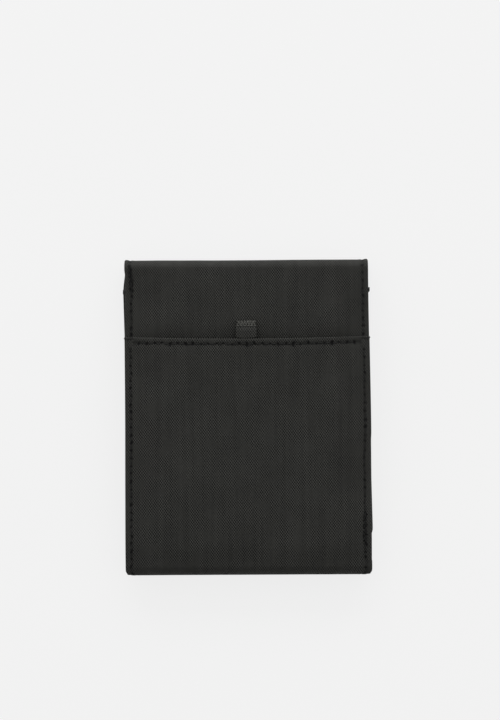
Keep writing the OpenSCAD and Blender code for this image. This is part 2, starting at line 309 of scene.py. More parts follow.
# Nylon twill, woven from fine twisted yarn and dyed black: steep diagonal wales that run down to the
# right, a soft grey sheen on them, and faint streaks along the warp.
# Its wales are 0.8 mm apart and are drawn a twentieth wider so that they show
WALE = 0.84
WALE_SLOPE = (0.80, -0.60)
CROSS_SLOPE = (0.80, 0.60)
TWILL_DARK, TWILL_LIGHT = "010101", "3d3d3a"


def twill_finish(name, rows=()):
    """Twill, with painted shade in its rows of needle holes and along the line of each row."""
    made, tree, shader = new_material(name, Roughness=0.62, Sheen_Weight=0.06, Sheen_Roughness=0.5,
                                      Specular_IOR_Level=0.13)
    shader.inputs["Sheen Tint"].default_value = linear("c8c8c4")
    chart = add(tree, "ShaderNodeUVMap", uv_map="cloth").outputs["UV"]
    waver = add(tree, "ShaderNodeTexNoise", {"Vector": chart, "Scale": 0.25, "Detail": 2.0})
    bands = []
    for slope, wander in ((WALE_SLOPE, 3.0), (CROSS_SLOPE, -3.0)):
        wave = [2 * math.pi / WALE * part for part in slope] + [0]
        slant = add(tree, "ShaderNodeVectorMath", {0: chart, 1: wave}, operation="DOT_PRODUCT")
        bent = add(tree, "ShaderNodeMath", {0: waver.outputs["Fac"], 1: wander, 2: slant.outputs["Value"]},
                   operation="MULTIPLY_ADD")
        bands.append(add(tree, "ShaderNodeMath", {0: bent.outputs[0]}, operation="SINE").outputs[0])
    weave = add(tree, "ShaderNodeMath", {0: bands[1], 1: 0.85, 2: bands[0]}, operation="MULTIPLY_ADD")
    # the weave shows strongly in some places and hardly in others
    worn = add(tree, "ShaderNodeTexNoise", {"Vector": chart, "Scale": 0.16, "Detail": 3.0})
    worn = add(tree, "ShaderNodeMapRange", {"Value": worn.outputs["Fac"], "From Min": 0.40, "From Max": 0.60,
                                            "To Min": 0.25, "To Max": 1.6})
    weave = add(tree, "ShaderNodeMath", {0: weave.outputs[0], 1: worn.outputs["Result"]},
                operation="MULTIPLY")
    height = add(tree, "ShaderNodeMapRange", {"Value": weave.outputs[0], "From Min": -1.05, "From Max": 1.05})
    height = height.outputs["Result"]
    # streaks drawn out along the warp, and broad patches of tone
    drawn = add(tree, "ShaderNodeMapping", {"Vector": chart, "Scale": (0.5, 0.015, 1)})
    streak = add(tree, "ShaderNodeTexNoise", {"Vector": drawn.outputs["Vector"], "Scale": 1.0, "Detail": 3.0})
    patch = add(tree, "ShaderNodeTexNoise", {"Vector": chart, "Scale": 0.06, "Detail": 3.0})
    slub = add(tree, "ShaderNodeTexNoise", {"Vector": chart, "Scale": 0.9, "Detail": 2.0})
    tone = add(tree, "ShaderNodeMath", {0: streak.outputs["Fac"], 1: patch.outputs["Fac"]}, operation="ADD")
    tone = add(tree, "ShaderNodeMath", {0: slub.outputs["Fac"], 1: 0.8, 2: tone.outputs[0]},
               operation="MULTIPLY_ADD")
    tone = add(tree, "ShaderNodeMapRange", {"Value": tone.outputs[0], "From Min": 1.0, "From Max": 1.8,
                                            "To Min": 0.74, "To Max": 1.26}).outputs["Result"]
    # painted shade in the needle holes: a hole is darkest within 0.25 mm of its middle and has faded out at
    # 0.8 mm, and no two are quite alike
    jog = add(tree, "ShaderNodeTexNoise", {"Vector": chart, "Scale": 0.45, "Detail": 1.0})
    jog = add(tree, "ShaderNodeVectorMath", {0: jog.outputs["Color"], 1: (0.5, 0.5, 0.5)},
              operation="SUBTRACT")
    jog = add(tree, "ShaderNodeVectorMath", {0: jog.outputs[0], 1: (1.5, 3.2, 0)}, operation="MULTIPLY")
    jogged = add(tree, "ShaderNodeVectorMath", {0: chart, 1: jog.outputs[0]}, operation="ADD")
    apart = add(tree, "ShaderNodeSeparateXYZ", {0: jogged.outputs[0]})
    middle = add(tree, "ShaderNodeMath", {0: apart.outputs["X"]}, operation="ABSOLUTE")
    for runs, place, first, pitch, limits in rows:
        off, run = apart.outputs["X"], apart.outputs["Y"]
        if runs == "across":
            off, run = run, off
        elif runs == "sides":
            off = middle.outputs[0]
        elif runs == "left":
            place = -place
        off = add(tree, "ShaderNodeMath", {0: off, 1: place}, operation="SUBTRACT")
        near = add(tree, "ShaderNodeMath", {0: run, 1: first}, operation="SUBTRACT")
        near = add(tree, "ShaderNodeMath", {0: near.outputs[0], 1: pitch / 2, 2: -pitch / 2},
                   operation="WRAP")
        away = add(tree, "ShaderNodeCombineXYZ", {"X": off.outputs[0], "Y": near.outputs[0]})
        away = add(tree, "ShaderNodeVectorMath", {0: away.outputs[0]}, operation="LENGTH")
        painted_row_shade = add(tree, "ShaderNodeMapRange", {"Value": away.outputs["Value"], "From Min": 0.25,
                                                "From Max": 0.80, "To Min": 0.06, "To Max": 1.0},
                   interpolation_type="SMOOTHSTEP").outputs["Result"]
        # painted shade along the line of the row: down to 0.84 within 0.3 mm of it, gone at 1 mm
        beside = add(tree, "ShaderNodeMath", {0: off.outputs[0]}, operation="ABSOLUTE")
        painted_groove_shade = add(tree, "ShaderNodeMapRange", {"Value": beside.outputs[0], "From Min": 0.3,
                                                  "From Max": 1.0, "To Min": 0.84,
                                                  "To Max": 1.0}).outputs["Result"]
        painted_row_shade = add(tree, "ShaderNodeMath", {0: painted_row_shade, 1: painted_groove_shade}, operation="MULTIPLY").outputs[0]
        if limits:
            low, high = limits
            there = add(tree, "ShaderNodeMath", {0: run, 1: (low + high) / 2, 2: (high - low) / 2},
                        operation="COMPARE")
            painted_row_shade = add(tree, "ShaderNodeMix", {"Factor": there.outputs[0], "A": 1.0, "B": painted_row_shade}).outputs[0]
        # the painted shade darkens the twill's colour, and the weave's height is flattened there too
        tone = add(tree, "ShaderNodeMath", {0: tone, 1: painted_row_shade}, operation="MULTIPLY").outputs[0]
        height = add(tree, "ShaderNodeMath", {0: height, 1: painted_row_shade}, operation="MULTIPLY").outputs[0]
    yarn = add(tree, "ShaderNodeMix", {"Factor": height, "A": linear(TWILL_DARK),
                                       "B": linear(TWILL_LIGHT)}, data_type="RGBA")
    colour = add(tree, "ShaderNodeVectorMath", {0: yarn.outputs["Result"], 1: tone}, operation="MULTIPLY")
    tree.links.new(colour.outputs["Vector"], shader.inputs["Base Color"])
    bump = add(tree, "ShaderNodeBump", {"Height": height, "Distance": 0.1 * MM, "Strength": 1.0})
    tree.links.new(bump.outputs["Normal"], shader.inputs["Normal"])
    return made


HEM_Z = 2 * HEM_R
flap_legs = [(HEM_TURN, 0), (math.pi * HEM_R, 180), (Y_SPINE - CREASE_R - flap_low.y - HEM_R, 0),
             (CREASE_R * math.pi / 2, 90), (Z_SPINE - CREASE_R, 0)]
flap_length = sum(leg[0] for leg in flap_legs)
flap_edge = HEM_TURN + math.pi * HEM_R / 2
flap_section = walk((flap_low.y + HEM_R + HEM_TURN, HEM_Z), 180, flap_legs)


def flap_askew(point):
    """The flap hangs a little askew, and its two free corners are round."""
    past = flap_low.y + FLAP_CORNER - point.y
    inset = FLAP_CORNER - math.sqrt(max(0.0, FLAP_CORNER**2 - past**2)) if past > 0 else 0.0
    point.x *= 1 - inset / HALF
    hang = smooth(Y_SPINE - point.y, 2 * MM, 14 * MM)
    point.x -= FLAP_SKEW * hang * (point.y - 5 * MM)
    point.x -= LEAN * smooth(point.y, -10 * MM, 66 * MM)
    return point


def flap_relief(point, s):
    """The flap lies flat on its outside, so its face only ever draws in."""
    inward = min(HALF - abs(point.x), abs(s - flap_edge))
    soft = slack(point, 0.15 * MM) * smooth(inward, 0, 6 * MM)
    return min(0.0, hem_relief(inward) - 0.15 * MM + soft)


flap_lie = laying(flap_section, HALF, relief=flap_relief, settle=flap_askew)
x_row = HALF - STITCH_IN
end_row = flap_edge + STITCH_IN
grooves = [side * (x_row + i * 0.45 * MM) for side in (-1, 1) for i in range(-2, 3)]
flap_rows = [seam_row("sides", x_row, end_row),
             seam_row("across", end_row, 0, low=5 * MM - HALF, high=HALF - 5 * MM)]
twill_flap = twill_finish("nylon_twill_woven_flap", flap_rows)
turned_width = 2 * (HALF - HEM_R + math.pi * HEM_R + HEM_TURN)
flap_twill = cloth("flap_twill", twill_flap, flap_lie, turned_width, flap_length,
                   turn_lines(HALF) + grooves, bend_lines(flap_legs))
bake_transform(flap_twill)
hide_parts("flap_outer", "flap_crease")

# ---------------------------------------------------------------------------------------------
# Flap, inside: a lining of plain-woven polyester sewn to the twill's turned edges. It runs on up the
# inside of the spine, over the crease. A sheet of greyboard lies between the two cloths.

lining_low, lining_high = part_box("flap_lining")
LINING = 0.22 * MM

# Polyester taffeta, plain woven: dark grey and slightly lustrous, a fine even check of yarns.
# Its yarns are 0.2 mm apart and are drawn three times as coarse so that they show
YARN = 0.6
taffeta, tree, shader = new_material("polyester_taffeta_woven", Roughness=0.45, Sheen_Weight=0.1,
                                     Specular_IOR_Level=0.4)
chart = add(tree, "ShaderNodeUVMap", uv_map="cloth").outputs["UV"]
apart = add(tree, "ShaderNodeSeparateXYZ", {0: chart})
waves = []
for side in ("X", "Y"):
    turn = add(tree, "ShaderNodeMath", {0: apart.outputs[side], 1: math.pi / YARN}, operation="MULTIPLY")
    waves.append(add(tree, "ShaderNodeMath", {0: turn.outputs[0]}, operation="SINE").outputs[0])
check = add(tree, "ShaderNodeMath", {0: waves[0], 1: waves[1]}, operation="MULTIPLY")
check = add(tree, "ShaderNodeMapRange", {"Value": check.outputs[0], "From Min": -1.0}).outputs["Result"]
drawn = add(tree, "ShaderNodeMapping", {"Vector": chart, "Scale": (0.03, 0.5, 1)})
streak = add(tree, "ShaderNodeTexNoise", {"Vector": drawn.outputs["Vector"], "Scale": 1.0, "Detail": 3.0})
wear = add(tree, "ShaderNodeMapRange", {"Value": streak.outputs["Fac"], "From Min": 0.3, "From Max": 0.7,
                                        "To Min": 0.85, "To Max": 1.15}).outputs["Result"]
yarn = add(tree, "ShaderNodeMix", {"Factor": check, "A": linear("232324"), "B": linear("3a3a3b")},
           data_type="RGBA")
colour = add(tree, "ShaderNodeVectorMath", {0: yarn.outputs["Result"], 1: wear}, operation="MULTIPLY")
tree.links.new(colour.outputs["Vector"], shader.inputs["Base Color"])
bump = add(tree, "ShaderNodeBump", {"Height": check, "Distance": 0.04 * MM, "Strength": 0.8})
tree.links.new(bump.outputs["Normal"], shader.inputs["Normal"])

LINING_IN = 0.8 * MM
lining_half = HALF - LINING_IN
INNER_R = CREASE_R - lining_high.z
lining_legs = [(Z_SPINE - CREASE_R, 0), (INNER_R * math.pi / 2, -90),
               (Y_SPINE - CREASE_R - lining_low.y - LINING_IN, 0)]
lining_length = sum(leg[0] for leg in lining_legs)
lining_section = walk((Y_SPINE - lining_high.z, Z_SPINE), -90, lining_legs)


def lining_relief(point, s):
    """The lining sinks to the turned edges along its seam and lies slack between."""
    inward = min(lining_half - abs(point.x), lining_length - s)
    loose = smooth(inward, 0, 8 * MM) * abs(slack(point, 0.2 * MM))
    edge = 0.3 * MM * (1 - smooth(inward, 0, 1.2 * MM))
    return loose - edge - 0.15 * MM * bump_at(inward, 1.7 * MM, 0.5 * MM)


lining_lie = laying(lining_section, lining_half + HEM_R, relief=lining_relief, settle=flap_askew)
flap_lining_cloth = cloth("flap_lining_cloth", taffeta, lining_lie, 2 * lining_half, lining_length,
                          along=bend_lines(lining_legs), thickness=LINING)
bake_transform(flap_lining_cloth)
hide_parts("flap_lining")

# Greyboard: pressed waste paper, pale grey-brown with darker fibres
greyboard, tree, shader = new_material("greyboard_pressed", Roughness=0.9, Specular_IOR_Level=0.2)
place = add(tree, "ShaderNodeTexCoord").outputs["Object"]
pulp = add(tree, "ShaderNodeTexNoise", {"Vector": place, "Scale": 900.0, "Detail": 4.0})
fibre = add(tree, "ShaderNodeMix", {"Factor": pulp.outputs["Fac"], "A": linear("8c877c"),
                                    "B": linear("b5b0a4")}, data_type="RGBA")
tree.links.new(fibre.outputs["Result"], shader.inputs["Base Color"])
grain = add(tree, "ShaderNodeBump", {"Height": pulp.outputs["Fac"], "Distance": 0.05 * MM, "Strength": 0.6})
tree.links.new(grain.outputs["Normal"], shader.inputs["Normal"])
bpy.data.objects["flap_board"].material_slots[0].material = greyboard

# ---------------------------------------------------------------------------------------------
# Back: the same twill comes up the spine, rolls over the second crease and runs down to the bottom.
# It is pinched at both side seams and crowned between them, with a board and a lining under it.

back_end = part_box("bottom_gusset")[1].y
back_legs = [(Z_SPINE - CREASE_R, 0), (CREASE_R * math.pi / 2, 90),
             (Y_SPINE - CREASE_R - back_end, 0)]
back_length = sum(leg[0] for leg in back_legs)
back_section = walk((Y_SPINE, Z_SPINE), 90, back_legs)
NARROW = 0.004
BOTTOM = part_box("bottom_gusset")[0].y
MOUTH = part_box("back_slip_pocket")[1].y
Z_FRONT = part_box("front_panel")[0].z
CORNER = 2.2 * MM


def pouch_form(point):
    """How soft the pouch is: back and front fall together at the side seams and at the bottom, it
    leans a little to the left near the spine and is narrower there, and its two bottom corners are
    round."""
    side = smooth(abs(point.x), 34 * MM, HALF) ** 2
    loose = smooth(Y_SPINE - point.y, 3 * MM, 26 * MM)
    end = smooth(-point.y, 42 * MM, 66 * MM)
    tip = smooth(-point.y, 54 * MM, 68 * MM)
    fall = 1.1 * side * (0.12 + 0.88 * loose) + 0.5 * end + 1.3 * tip
    rise = 1.3 * side * loose + 0.4 * end
    share = min(1.0, max(0.0, (point.z - Z_FRONT) / (Z_BACK - Z_FRONT)))
    point.z += (rise * (1 - share) - fall * share) * MM
    past = BOTTOM + CORNER - point.y
    inset = CORNER - math.sqrt(max(0.0, CORNER**2 - past**2)) if past > 0 else 0.0
    point.x *= (1 - inset / HALF) * (1 - NARROW * smooth(point.y, -30 * MM, 70 * MM))
    point.x -= LEAN * smooth(point.y, -10 * MM, 66 * MM)
    return point


def back_relief(point, s):
    """The back is slack between its turned sides, which stand up a little over the crease."""
    inward = HALF - abs(point.x)
    over_crease = bump_at(s, back_legs[0][0] + 3 * MM, 5 * MM)
    edge_turn = 0.25 * MM * bump_at(inward, 0.8 * MM, 0.9 * MM) * over_crease
    soft = slack(point, 0.16 * MM) * smooth(inward, 1 * MM, 7 * MM)
    return hem_relief(inward) - 0.1 * MM + soft + edge_turn


def back_form(point):
    """The back is drawn in behind the pocket's mouth, and its left edge is turned in a little more near
    the spine, where the seam tape shows past it."""
    inward = smooth(HALF - abs(point.x), 0, 14 * MM)
    high = smooth(point.z, Z_SPINE, Z_BACK - 2 * MM)
    point.z -= 1.0 * MM * bump_at(point.y, MOUTH - 3 * MM, 5 * MM) * (0.35 + 0.65 * inward) * high
    shy = smooth(point.y, 28 * MM, 40 * MM) * smooth(Y_SPINE - point.y, 4 * MM, 9 * MM)
    point.x += 0.55 * MM * shy * smooth(-point.x, HALF - 12 * MM, HALF)
    return pouch_form(point)


back_lie = laying(back_section, HALF, relief=back_relief, settle=back_form)
TACK_OFF = 0.4 * MM
TACK_STEP = 2 * PITCH / 3
back_rows = [seam_row("sides", x_row, 1.2 * MM),
             seam_row("left", x_row - TACK_OFF, 0.9 * MM, TACK_STEP, 8 * MM, 19 * MM),
             seam_row("left", x_row + TACK_OFF, 2.0 * MM, TACK_STEP, 8 * MM, 19 * MM)]
twill_back = twill_finish("nylon_twill_woven_back", back_rows)
back_twill = cloth("back_twill", twill_back, back_lie, turned_width, back_length,
                   turn_lines(HALF) + grooves, bend_lines(back_legs))
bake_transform(back_twill)
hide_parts("back_panel", "back_crease", "spine_outer")

board_low, board_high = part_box("back_board")
board_half = board_high.x - 1.6 * MM
board_length = board_high.y - board_low.y
board_section = walk((board_high.y, board_high.z), 180, [(board_length, 0)])
board_lie = laying(board_section, HALF, settle=back_form)
back_stiffener = cloth("back_stiffener", greyboard, board_lie, 2 * board_half, board_length,
                       step=2.5 * MM, thickness=board_high.z - board_low.z)
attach(back_stiffener, "pouch")
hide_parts("back_board")

tuck_low, tuck_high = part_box("back_lining")
tuck_half = tuck_high.x - 0.5 * MM
TUCK_R = CREASE_R - (Z_BACK - tuck_low.z)
tuck_legs = [(board_length - 1.0 * MM, 0), (TUCK_R * math.pi / 2, -90), (Z_SPINE - CREASE_R, 0)]
tuck_length = sum(leg[0] for leg in tuck_legs)
tuck_section = walk((board_low.y, tuck_low.z), 0, tuck_legs)
tuck_lie = laying(tuck_section, HALF, relief=lambda point, s: abs(slack(point, 0.15 * MM)),
                  settle=back_form)
back_lining_cloth = cloth("back_lining_cloth", taffeta, tuck_lie, 2 * tuck_half, tuck_length,
                          along=bend_lines(tuck_legs), step=2 * MM, thickness=LINING)
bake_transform(back_lining_cloth)
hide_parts("back_lining", "spine_lining")

# ---------------------------------------------------------------------------------------------
# Slip pocket on the back: a second twill with a turned and topstitched hem at its mouth, caught in
# the side seams. It runs on round the bottom and is seamed there to the bottom gusset.

pocket_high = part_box("back_slip_pocket")[1]
BOTTOM_R = 4.0 * MM
THIN_R = 0.45 * MM
MOUTH_R = 0.4 * MM
POCKET_HEM = 4.2 * MM
POCKET_PROUD = 0.12 * MM
SEAM_ANGLE = 66
STITCH_MOUTH = 2.7 * MM
roll_y = BOTTOM + BOTTOM_R
pocket_half = HALF + POCKET_PROUD
pocket_legs = [(POCKET_HEM, 0), (math.pi * MOUTH_R, 180), (pocket_high.y - MOUTH_R - roll_y, 0),
               (BOTTOM_R * math.radians(SEAM_ANGLE), SEAM_ANGLE), (0.9 * MM, 80)]
pocket_length = sum(leg[0] for leg in pocket_legs)
pocket_mouth = POCKET_HEM + math.pi * MOUTH_R / 2
pocket_line = pocket_mouth + STITCH_MOUTH
pocket_start = (pocket_high.y - MOUTH_R - POCKET_HEM, pocket_high.z - 2 * MOUTH_R)
pocket_section = walk(pocket_start, 0, [(POCKET_HEM, 0), (math.pi * MOUTH_R, 180)] + pocket_legs[2:])
SAG = 1.0 * MM
GAPE = 0.7 * MM


def pocket_form(point):
    """The mouth sags and gapes a little at the middle, where the tab pushes it open. Low down on the
    right the edge is turned in a little more, and the seam tape shows past it."""
    near = smooth(point.y, pocket_high.y - 26 * MM, pocket_high.y)
    across = 1 - smooth(abs(point.x), 0, HALF)
    point.y -= SAG * near * (1 - (point.x / HALF) ** 2)
    point.z += GAPE * near**3 * across
    shy = smooth(-point.y, 6 * MM, 16 * MM) * smooth(point.y - BOTTOM, 5 * MM, 9 * MM)
    point.x -= 0.5 * MM * shy * smooth(point.x, HALF - 12 * MM, HALF)
    return pouch_form(point)


def pocket_relief(point, s):
    """The pocket is slack below its mouth, whose turned hem and stitching show as two faint lines."""
    inward = HALF - abs(point.x)
    main = smooth(s, pocket_mouth, pocket_mouth + 1 * MM)
    row = bump_at(s, pocket_line, 0.55 * MM) * 0.2 * MM
    hem = 0.12 * MM * bump_at(s, pocket_mouth + POCKET_HEM - 0.6 * MM, 0.7 * MM)
    soft = slack(Vector((point.x, point.y, 40 * MM)), 0.22 * MM) * smooth(inward, 1 * MM, 9 * MM)
    return main * (hem_relief(inward) - row - hem + soft)


pocket_lie = laying(pocket_section, pocket_half, THIN_R, relief=pocket_relief, settle=pocket_form)
tack_from, tack_to = pocket_mouth + 76 * MM, pocket_mouth + 90 * MM
pocket_rows = [seam_row("sides", x_row, pocket_line),
               seam_row("right", x_row - TACK_OFF, 0.9 * MM, TACK_STEP, tack_from, tack_to),
               seam_row("right", x_row + TACK_OFF, 2.0 * MM, TACK_STEP, tack_from, tack_to),
               seam_row("across", pocket_line, 0.0),
               seam_row("across", pocket_length - 0.7 * MM, 0.0)]
twill_pocket = twill_finish("nylon_twill_woven_pocket", pocket_rows)
pocket_width = 2 * (pocket_half - THIN_R + math.pi * THIN_R + 3.2 * MM)
mouth_grooves = [pocket_line + i * 0.4 * MM for i in range(-2, 3)]
pocket_twill = cloth("pocket_twill", twill_pocket, pocket_lie, pocket_width, pocket_length,
                     turn_lines(pocket_half, THIN_R) + grooves, bend_lines(pocket_legs) + mouth_grooves)
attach(pocket_twill, "pouch")
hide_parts("back_slip_pocket")

# ---------------------------------------------------------------------------------------------
# Topstitching: black bonded polyester thread, twisted from three plies. Each stitch stands a little
# proud between two needle holes. The same rows show on the back, on the flap and under the flap.


def thread_finish(name, roughness, dark, light):
    """Thread of three plies that run round it, so that seven crossings show along a stitch."""
    made, tree, shader = new_material(name, Roughness=roughness, Specular_IOR_Level=0.2)
    own = add(tree, "ShaderNodeTexCoord").outputs["UV"]
    plies = add(tree, "ShaderNodeVectorMath", {0: own, 1: (18.8, 44.0, 0)}, operation="DOT_PRODUCT")
    plies = add(tree, "ShaderNodeMath", {0: plies.outputs["Value"]}, operation="SINE")
    plies = add(tree, "ShaderNodeMapRange", {"Value": plies.outputs[0], "From Min": -1.0})
    twist = add(tree, "ShaderNodeMix", {"Factor": plies.outputs["Result"], "A": linear(dark),
                                        "B": linear(light)}, data_type="RGBA")
    tree.links.new(twist.outputs["Result"], shader.inputs["Base Color"])
    return made, tree, shader, plies.outputs["Result"]


# Bonded polyester thread: black and dull, with its plies standing up a little
thread, tree, shader, plies = thread_finish("polyester_thread_twisted", 0.6, "060606", "262625")
cord = add(tree, "ShaderNodeBump", {"Height": plies, "Distance": 0.05 * MM, "Strength": 0.8})
tree.links.new(cord.outputs["Normal"], shader.inputs["Normal"])

THREAD_R = 0.22 * MM
THREAD_PROUD = 0.4
STITCH = 2.3 * MM


def stitch(bm, lie, start, end):
    """One stitch on laid cloth, between two places on the cut cloth."""
    middle = [(a + b) / 2 for a, b in zip(start, end)]
    step = 0.3 * MM
    across = lie(middle[0] + step, middle[1]) - lie(middle[0] - step, middle[1])
    down = lie(middle[0], middle[1] + step) - lie(middle[0], middle[1] - step)
    out = down.cross(across).normalized()
    first, last = lie(*start), lie(*end)
    along = (last - first).normalized()
    side = out.cross(along).normalized()
    centre = (first + last) / 2 + out * THREAD_R * THREAD_PROUD
    turn = Matrix((side, out, along)).transposed().to_4x4()
    size = Matrix.Diagonal((THREAD_R, THREAD_R, (last - first).length / 2, 1))
    bmesh.ops.create_uvsphere(bm, u_segments=8, v_segments=6, radius=1, calc_uvs=True,
                              matrix=Matrix.Translation(centre) @ turn @ size)


def row_along(u, low, high, first, pitch=PITCH, length=STITCH):
    """Stitches that run along cut cloth between two lengths, in step with its needle holes."""
    start = first + math.ceil((low - first) / pitch) * pitch
    count = int((high - start) / pitch)
    gap = (pitch - length) / 2
    return [((u, start + i * pitch + gap), (u, start + (i + 1) * pitch - gap)) for i in range(count)]


def row_across(s, half, pitch=PITCH, length=STITCH):
    """Stitches that run across cut cloth at one length."""
    count = int(half / pitch)
    gap = (pitch - length) / 2
    return [((i * pitch + gap, s), ((i + 1) * pitch - gap, s)) for i in range(-count, count)]


def sewn(name, body, runs, node=None, finish=thread, knots=()):
    """One piece of sewing from runs of (lay of the cloth, stitches) and from knots at thread ends. It
    stands for a CAD node where there is one."""
    bm = bmesh.new()
    bm.loops.layers.uv.new("thread")
    for lie, row in runs:
        for start, end in row:
            stitch(bm, lie, start, end)
    for knot in knots:
        size = Matrix.Diagonal((0.45 * MM, 0.55 * MM, 0.4 * MM, 1))
        bmesh.ops.create_uvsphere(bm, u_segments=12, v_segments=8, radius=1, calc_uvs=True,
                                  matrix=Matrix.Translation(knot) @ size)
    made = piece_from(bm, name, finish)
    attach(made, body)
    if node:
        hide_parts(node)


x_inner = x_row - 0.1 * MM
lining_row = lining_length + LINING_IN - STITCH_IN
flap_side, lining_side = [], []
for side in (-1, 1):
    outer = row_along(side * x_row, flap_edge + 5 * MM, flap_length - 9 * MM, end_row)
    flap_side.append((flap_lie, outer))
    lining_side.append((lining_lie, row_along(side * x_inner, 8 * MM, lining_length - 5 * MM, 0)))
flap_runs = flap_side + [(flap_lie, row_across(end_row, HALF - 6 * MM))]
flap_runs += lining_side + [(lining_lie, row_across(lining_row, HALF - 6 * MM))]
sewn("flap_stitching", "flap", flap_runs, "flap_topstitch")
pocket_runs = [(pocket_lie, row_across(pocket_line, HALF - 4.5 * MM))]
sewn("pocket_stitching", "pouch", pocket_runs, "pocket_topstitch")

# ---------------------------------------------------------------------------------------------
# Bottom gusset and front panel: twill again. The gusset is seamed to the slip pocket behind and to
# the front panel before, and the front panel ends at the zip in a folded edge.


def pouch_relief(section_end, hold=1.0):
    """Relief for a pouch cloth with turned sides, drawn in at both of its ends."""

    def relief(point, s):
        inward = HALF - abs(point.x)
        loose = smooth(inward, 1 * MM, 7 * MM) * smooth(min(s, section_end - s), 0, 5 * MM)
        return hem_relief(inward) * hold - 0.05 * MM + slack(point, 0.16 * MM) * loose

    return relief


SEAM_TURN = 0.5 * MM
roll_high = Z_BACK - BOTTOM_R
roll_low = Z_FRONT + BOTTOM_R
seam_at = math.radians(90 + SEAM_ANGLE + 2)
seam_in = BOTTOM_R - 0.8 * MM
gusset_start = (roll_y + seam_in * math.cos(seam_at), roll_high + seam_in * math.sin(seam_at))
gusset_turn = 88 - SEAM_ANGLE
gusset_legs = [(0.48 * MM, 0), (SEAM_TURN, 90), (BOTTOM_R * math.radians(gusset_turn), gusset_turn),
               (roll_high - roll_low, 0), (BOTTOM_R * math.pi / 2, 90), (1.6 * MM, 0),
               (SEAM_TURN, 90), (0.5 * MM, 0)]
gusset_section = walk(gusset_start, math.degrees(seam_at), gusset_legs)
gusset_length = sum(leg[0] for leg in gusset_legs)
gusset_relief = pouch_relief(gusset_length, 0.4)
gusset_half = HALF - 0.1 * MM
gusset_lie = laying(gusset_section, gusset_half, THIN_R, relief=gusset_relief, settle=pouch_form)
# a row of needle holes along the gusset's seam to the pocket, where the twill gets painted shade
gusset_rows = [seam_row("across", 1.3 * MM, 0.0)]
twill_gusset = twill_finish("nylon_twill_woven_gusset", gusset_rows)
gusset_width = 2 * (HALF + 3 * MM)
gusset_twill = cloth("gusset_twill", twill_gusset, gusset_lie, gusset_width, gusset_length,
                     turn_lines(gusset_half, THIN_R) + grooves, bend_lines(gusset_legs, 6))
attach(gusset_twill, "pouch")
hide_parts("bottom_gusset")

panel_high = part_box("front_panel")[1]
FOLD_R = 0.4 * MM
FOLD_BACK = 2.5 * MM
panel_from = roll_y + 1.75 * MM
panel_legs = [(0.5 * MM, 0), (SEAM_TURN, 90), (panel_high.y - FOLD_R - panel_from, 0),
              (math.pi * FOLD_R, 180), (FOLD_BACK, 0)]
panel_length = sum(leg[0] for leg in panel_legs)
panel_section = walk((panel_from, Z_FRONT + 0.5 * MM + SEAM_TURN * 2 / math.pi), -90, panel_legs)
panel_fold = panel_length - FOLD_BACK - math.pi * FOLD_R / 2
panel_lie = laying(panel_section, HALF, THIN_R, relief=pouch_relief(panel_length), settle=pouch_form)
panel_rows = [seam_row("sides", x_row, 0.0), seam_row("across", panel_fold - 2 * MM, 0.0)]
twill_panel = twill_finish("nylon_twill_woven_front", panel_rows)
panel_twill = cloth("panel_twill", twill_panel, panel_lie, gusset_width, panel_length,
                    turn_lines(HALF, THIN_R) + grooves, bend_lines(panel_legs, 6))
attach(panel_twill, "pouch")
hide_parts("front_panel")

# ---------------------------------------------------------------------------------------------
# Side seams: the turned edges of the back, the pocket, the linings and the front, closed by a strip
# of olive-black bias tape that is folded round them and topstitched through all the plies.

# Bias tape, woven polyester: matt olive black with fine cross ribs.
# Its ribs are 0.4 mm apart and are drawn twice as coarse so that they show
def tape_finish(name, dark, light, rib, slope=(0, 1)):
    """Ribbed tape: ribs that far apart in millimetres, across the slope, and worn in patches."""
    made, tree, shader = new_material(name, Roughness=0.75, Sheen_Weight=0.15, Specular_IOR_Level=0.25)
    chart = add(tree, "ShaderNodeUVMap", uv_map="cloth").outputs["UV"]
    wave = [2 * math.pi / rib * part for part in slope] + [0]
    ribs = add(tree, "ShaderNodeVectorMath", {0: chart, 1: wave}, operation="DOT_PRODUCT")
    wander = add(tree, "ShaderNodeTexNoise", {"Vector": chart, "Scale": 0.8, "Detail": 3.0})
    bent = add(tree, "ShaderNodeMath", {0: wander.outputs["Fac"], 1: 3.0, 2: ribs.outputs["Value"]},
               operation="MULTIPLY_ADD")
    ribs = add(tree, "ShaderNodeMath", {0: bent.outputs[0]}, operation="SINE")
    ribs = add(tree, "ShaderNodeMapRange", {"Value": ribs.outputs[0], "From Min": -1.0}).outputs["Result"]
    wear = add(tree, "ShaderNodeMapRange", {"Value": wander.outputs["Fac"], "From Min": 0.3, "From Max": 0.7,
                                            "To Min": 0.75, "To Max": 1.2}).outputs["Result"]
    yarn = add(tree, "ShaderNodeMix", {"Factor": ribs, "A": linear(dark), "B": linear(light)},
               data_type="RGBA")
    colour = add(tree, "ShaderNodeVectorMath", {0: yarn.outputs["Result"], 1: wear}, operation="MULTIPLY")
    tree.links.new(colour.outputs["Vector"], shader.inputs["Base Color"])
    bump = add(tree, "ShaderNodeBump", {"Height": ribs, "Distance": 0.08 * MM, "Strength": 0.9})
    tree.links.new(bump.outputs["Normal"], shader.inputs["Normal"])
    return made


bias_tape = tape_finish("polyester_bias_tape_woven", "23231e", "4a4a40", 0.8)
SEAM_WIDTH = 12.0 * MM
seam_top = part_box("side_seam_right")[1].y
seam_length = seam_top - BOTTOM - 0.9 * MM


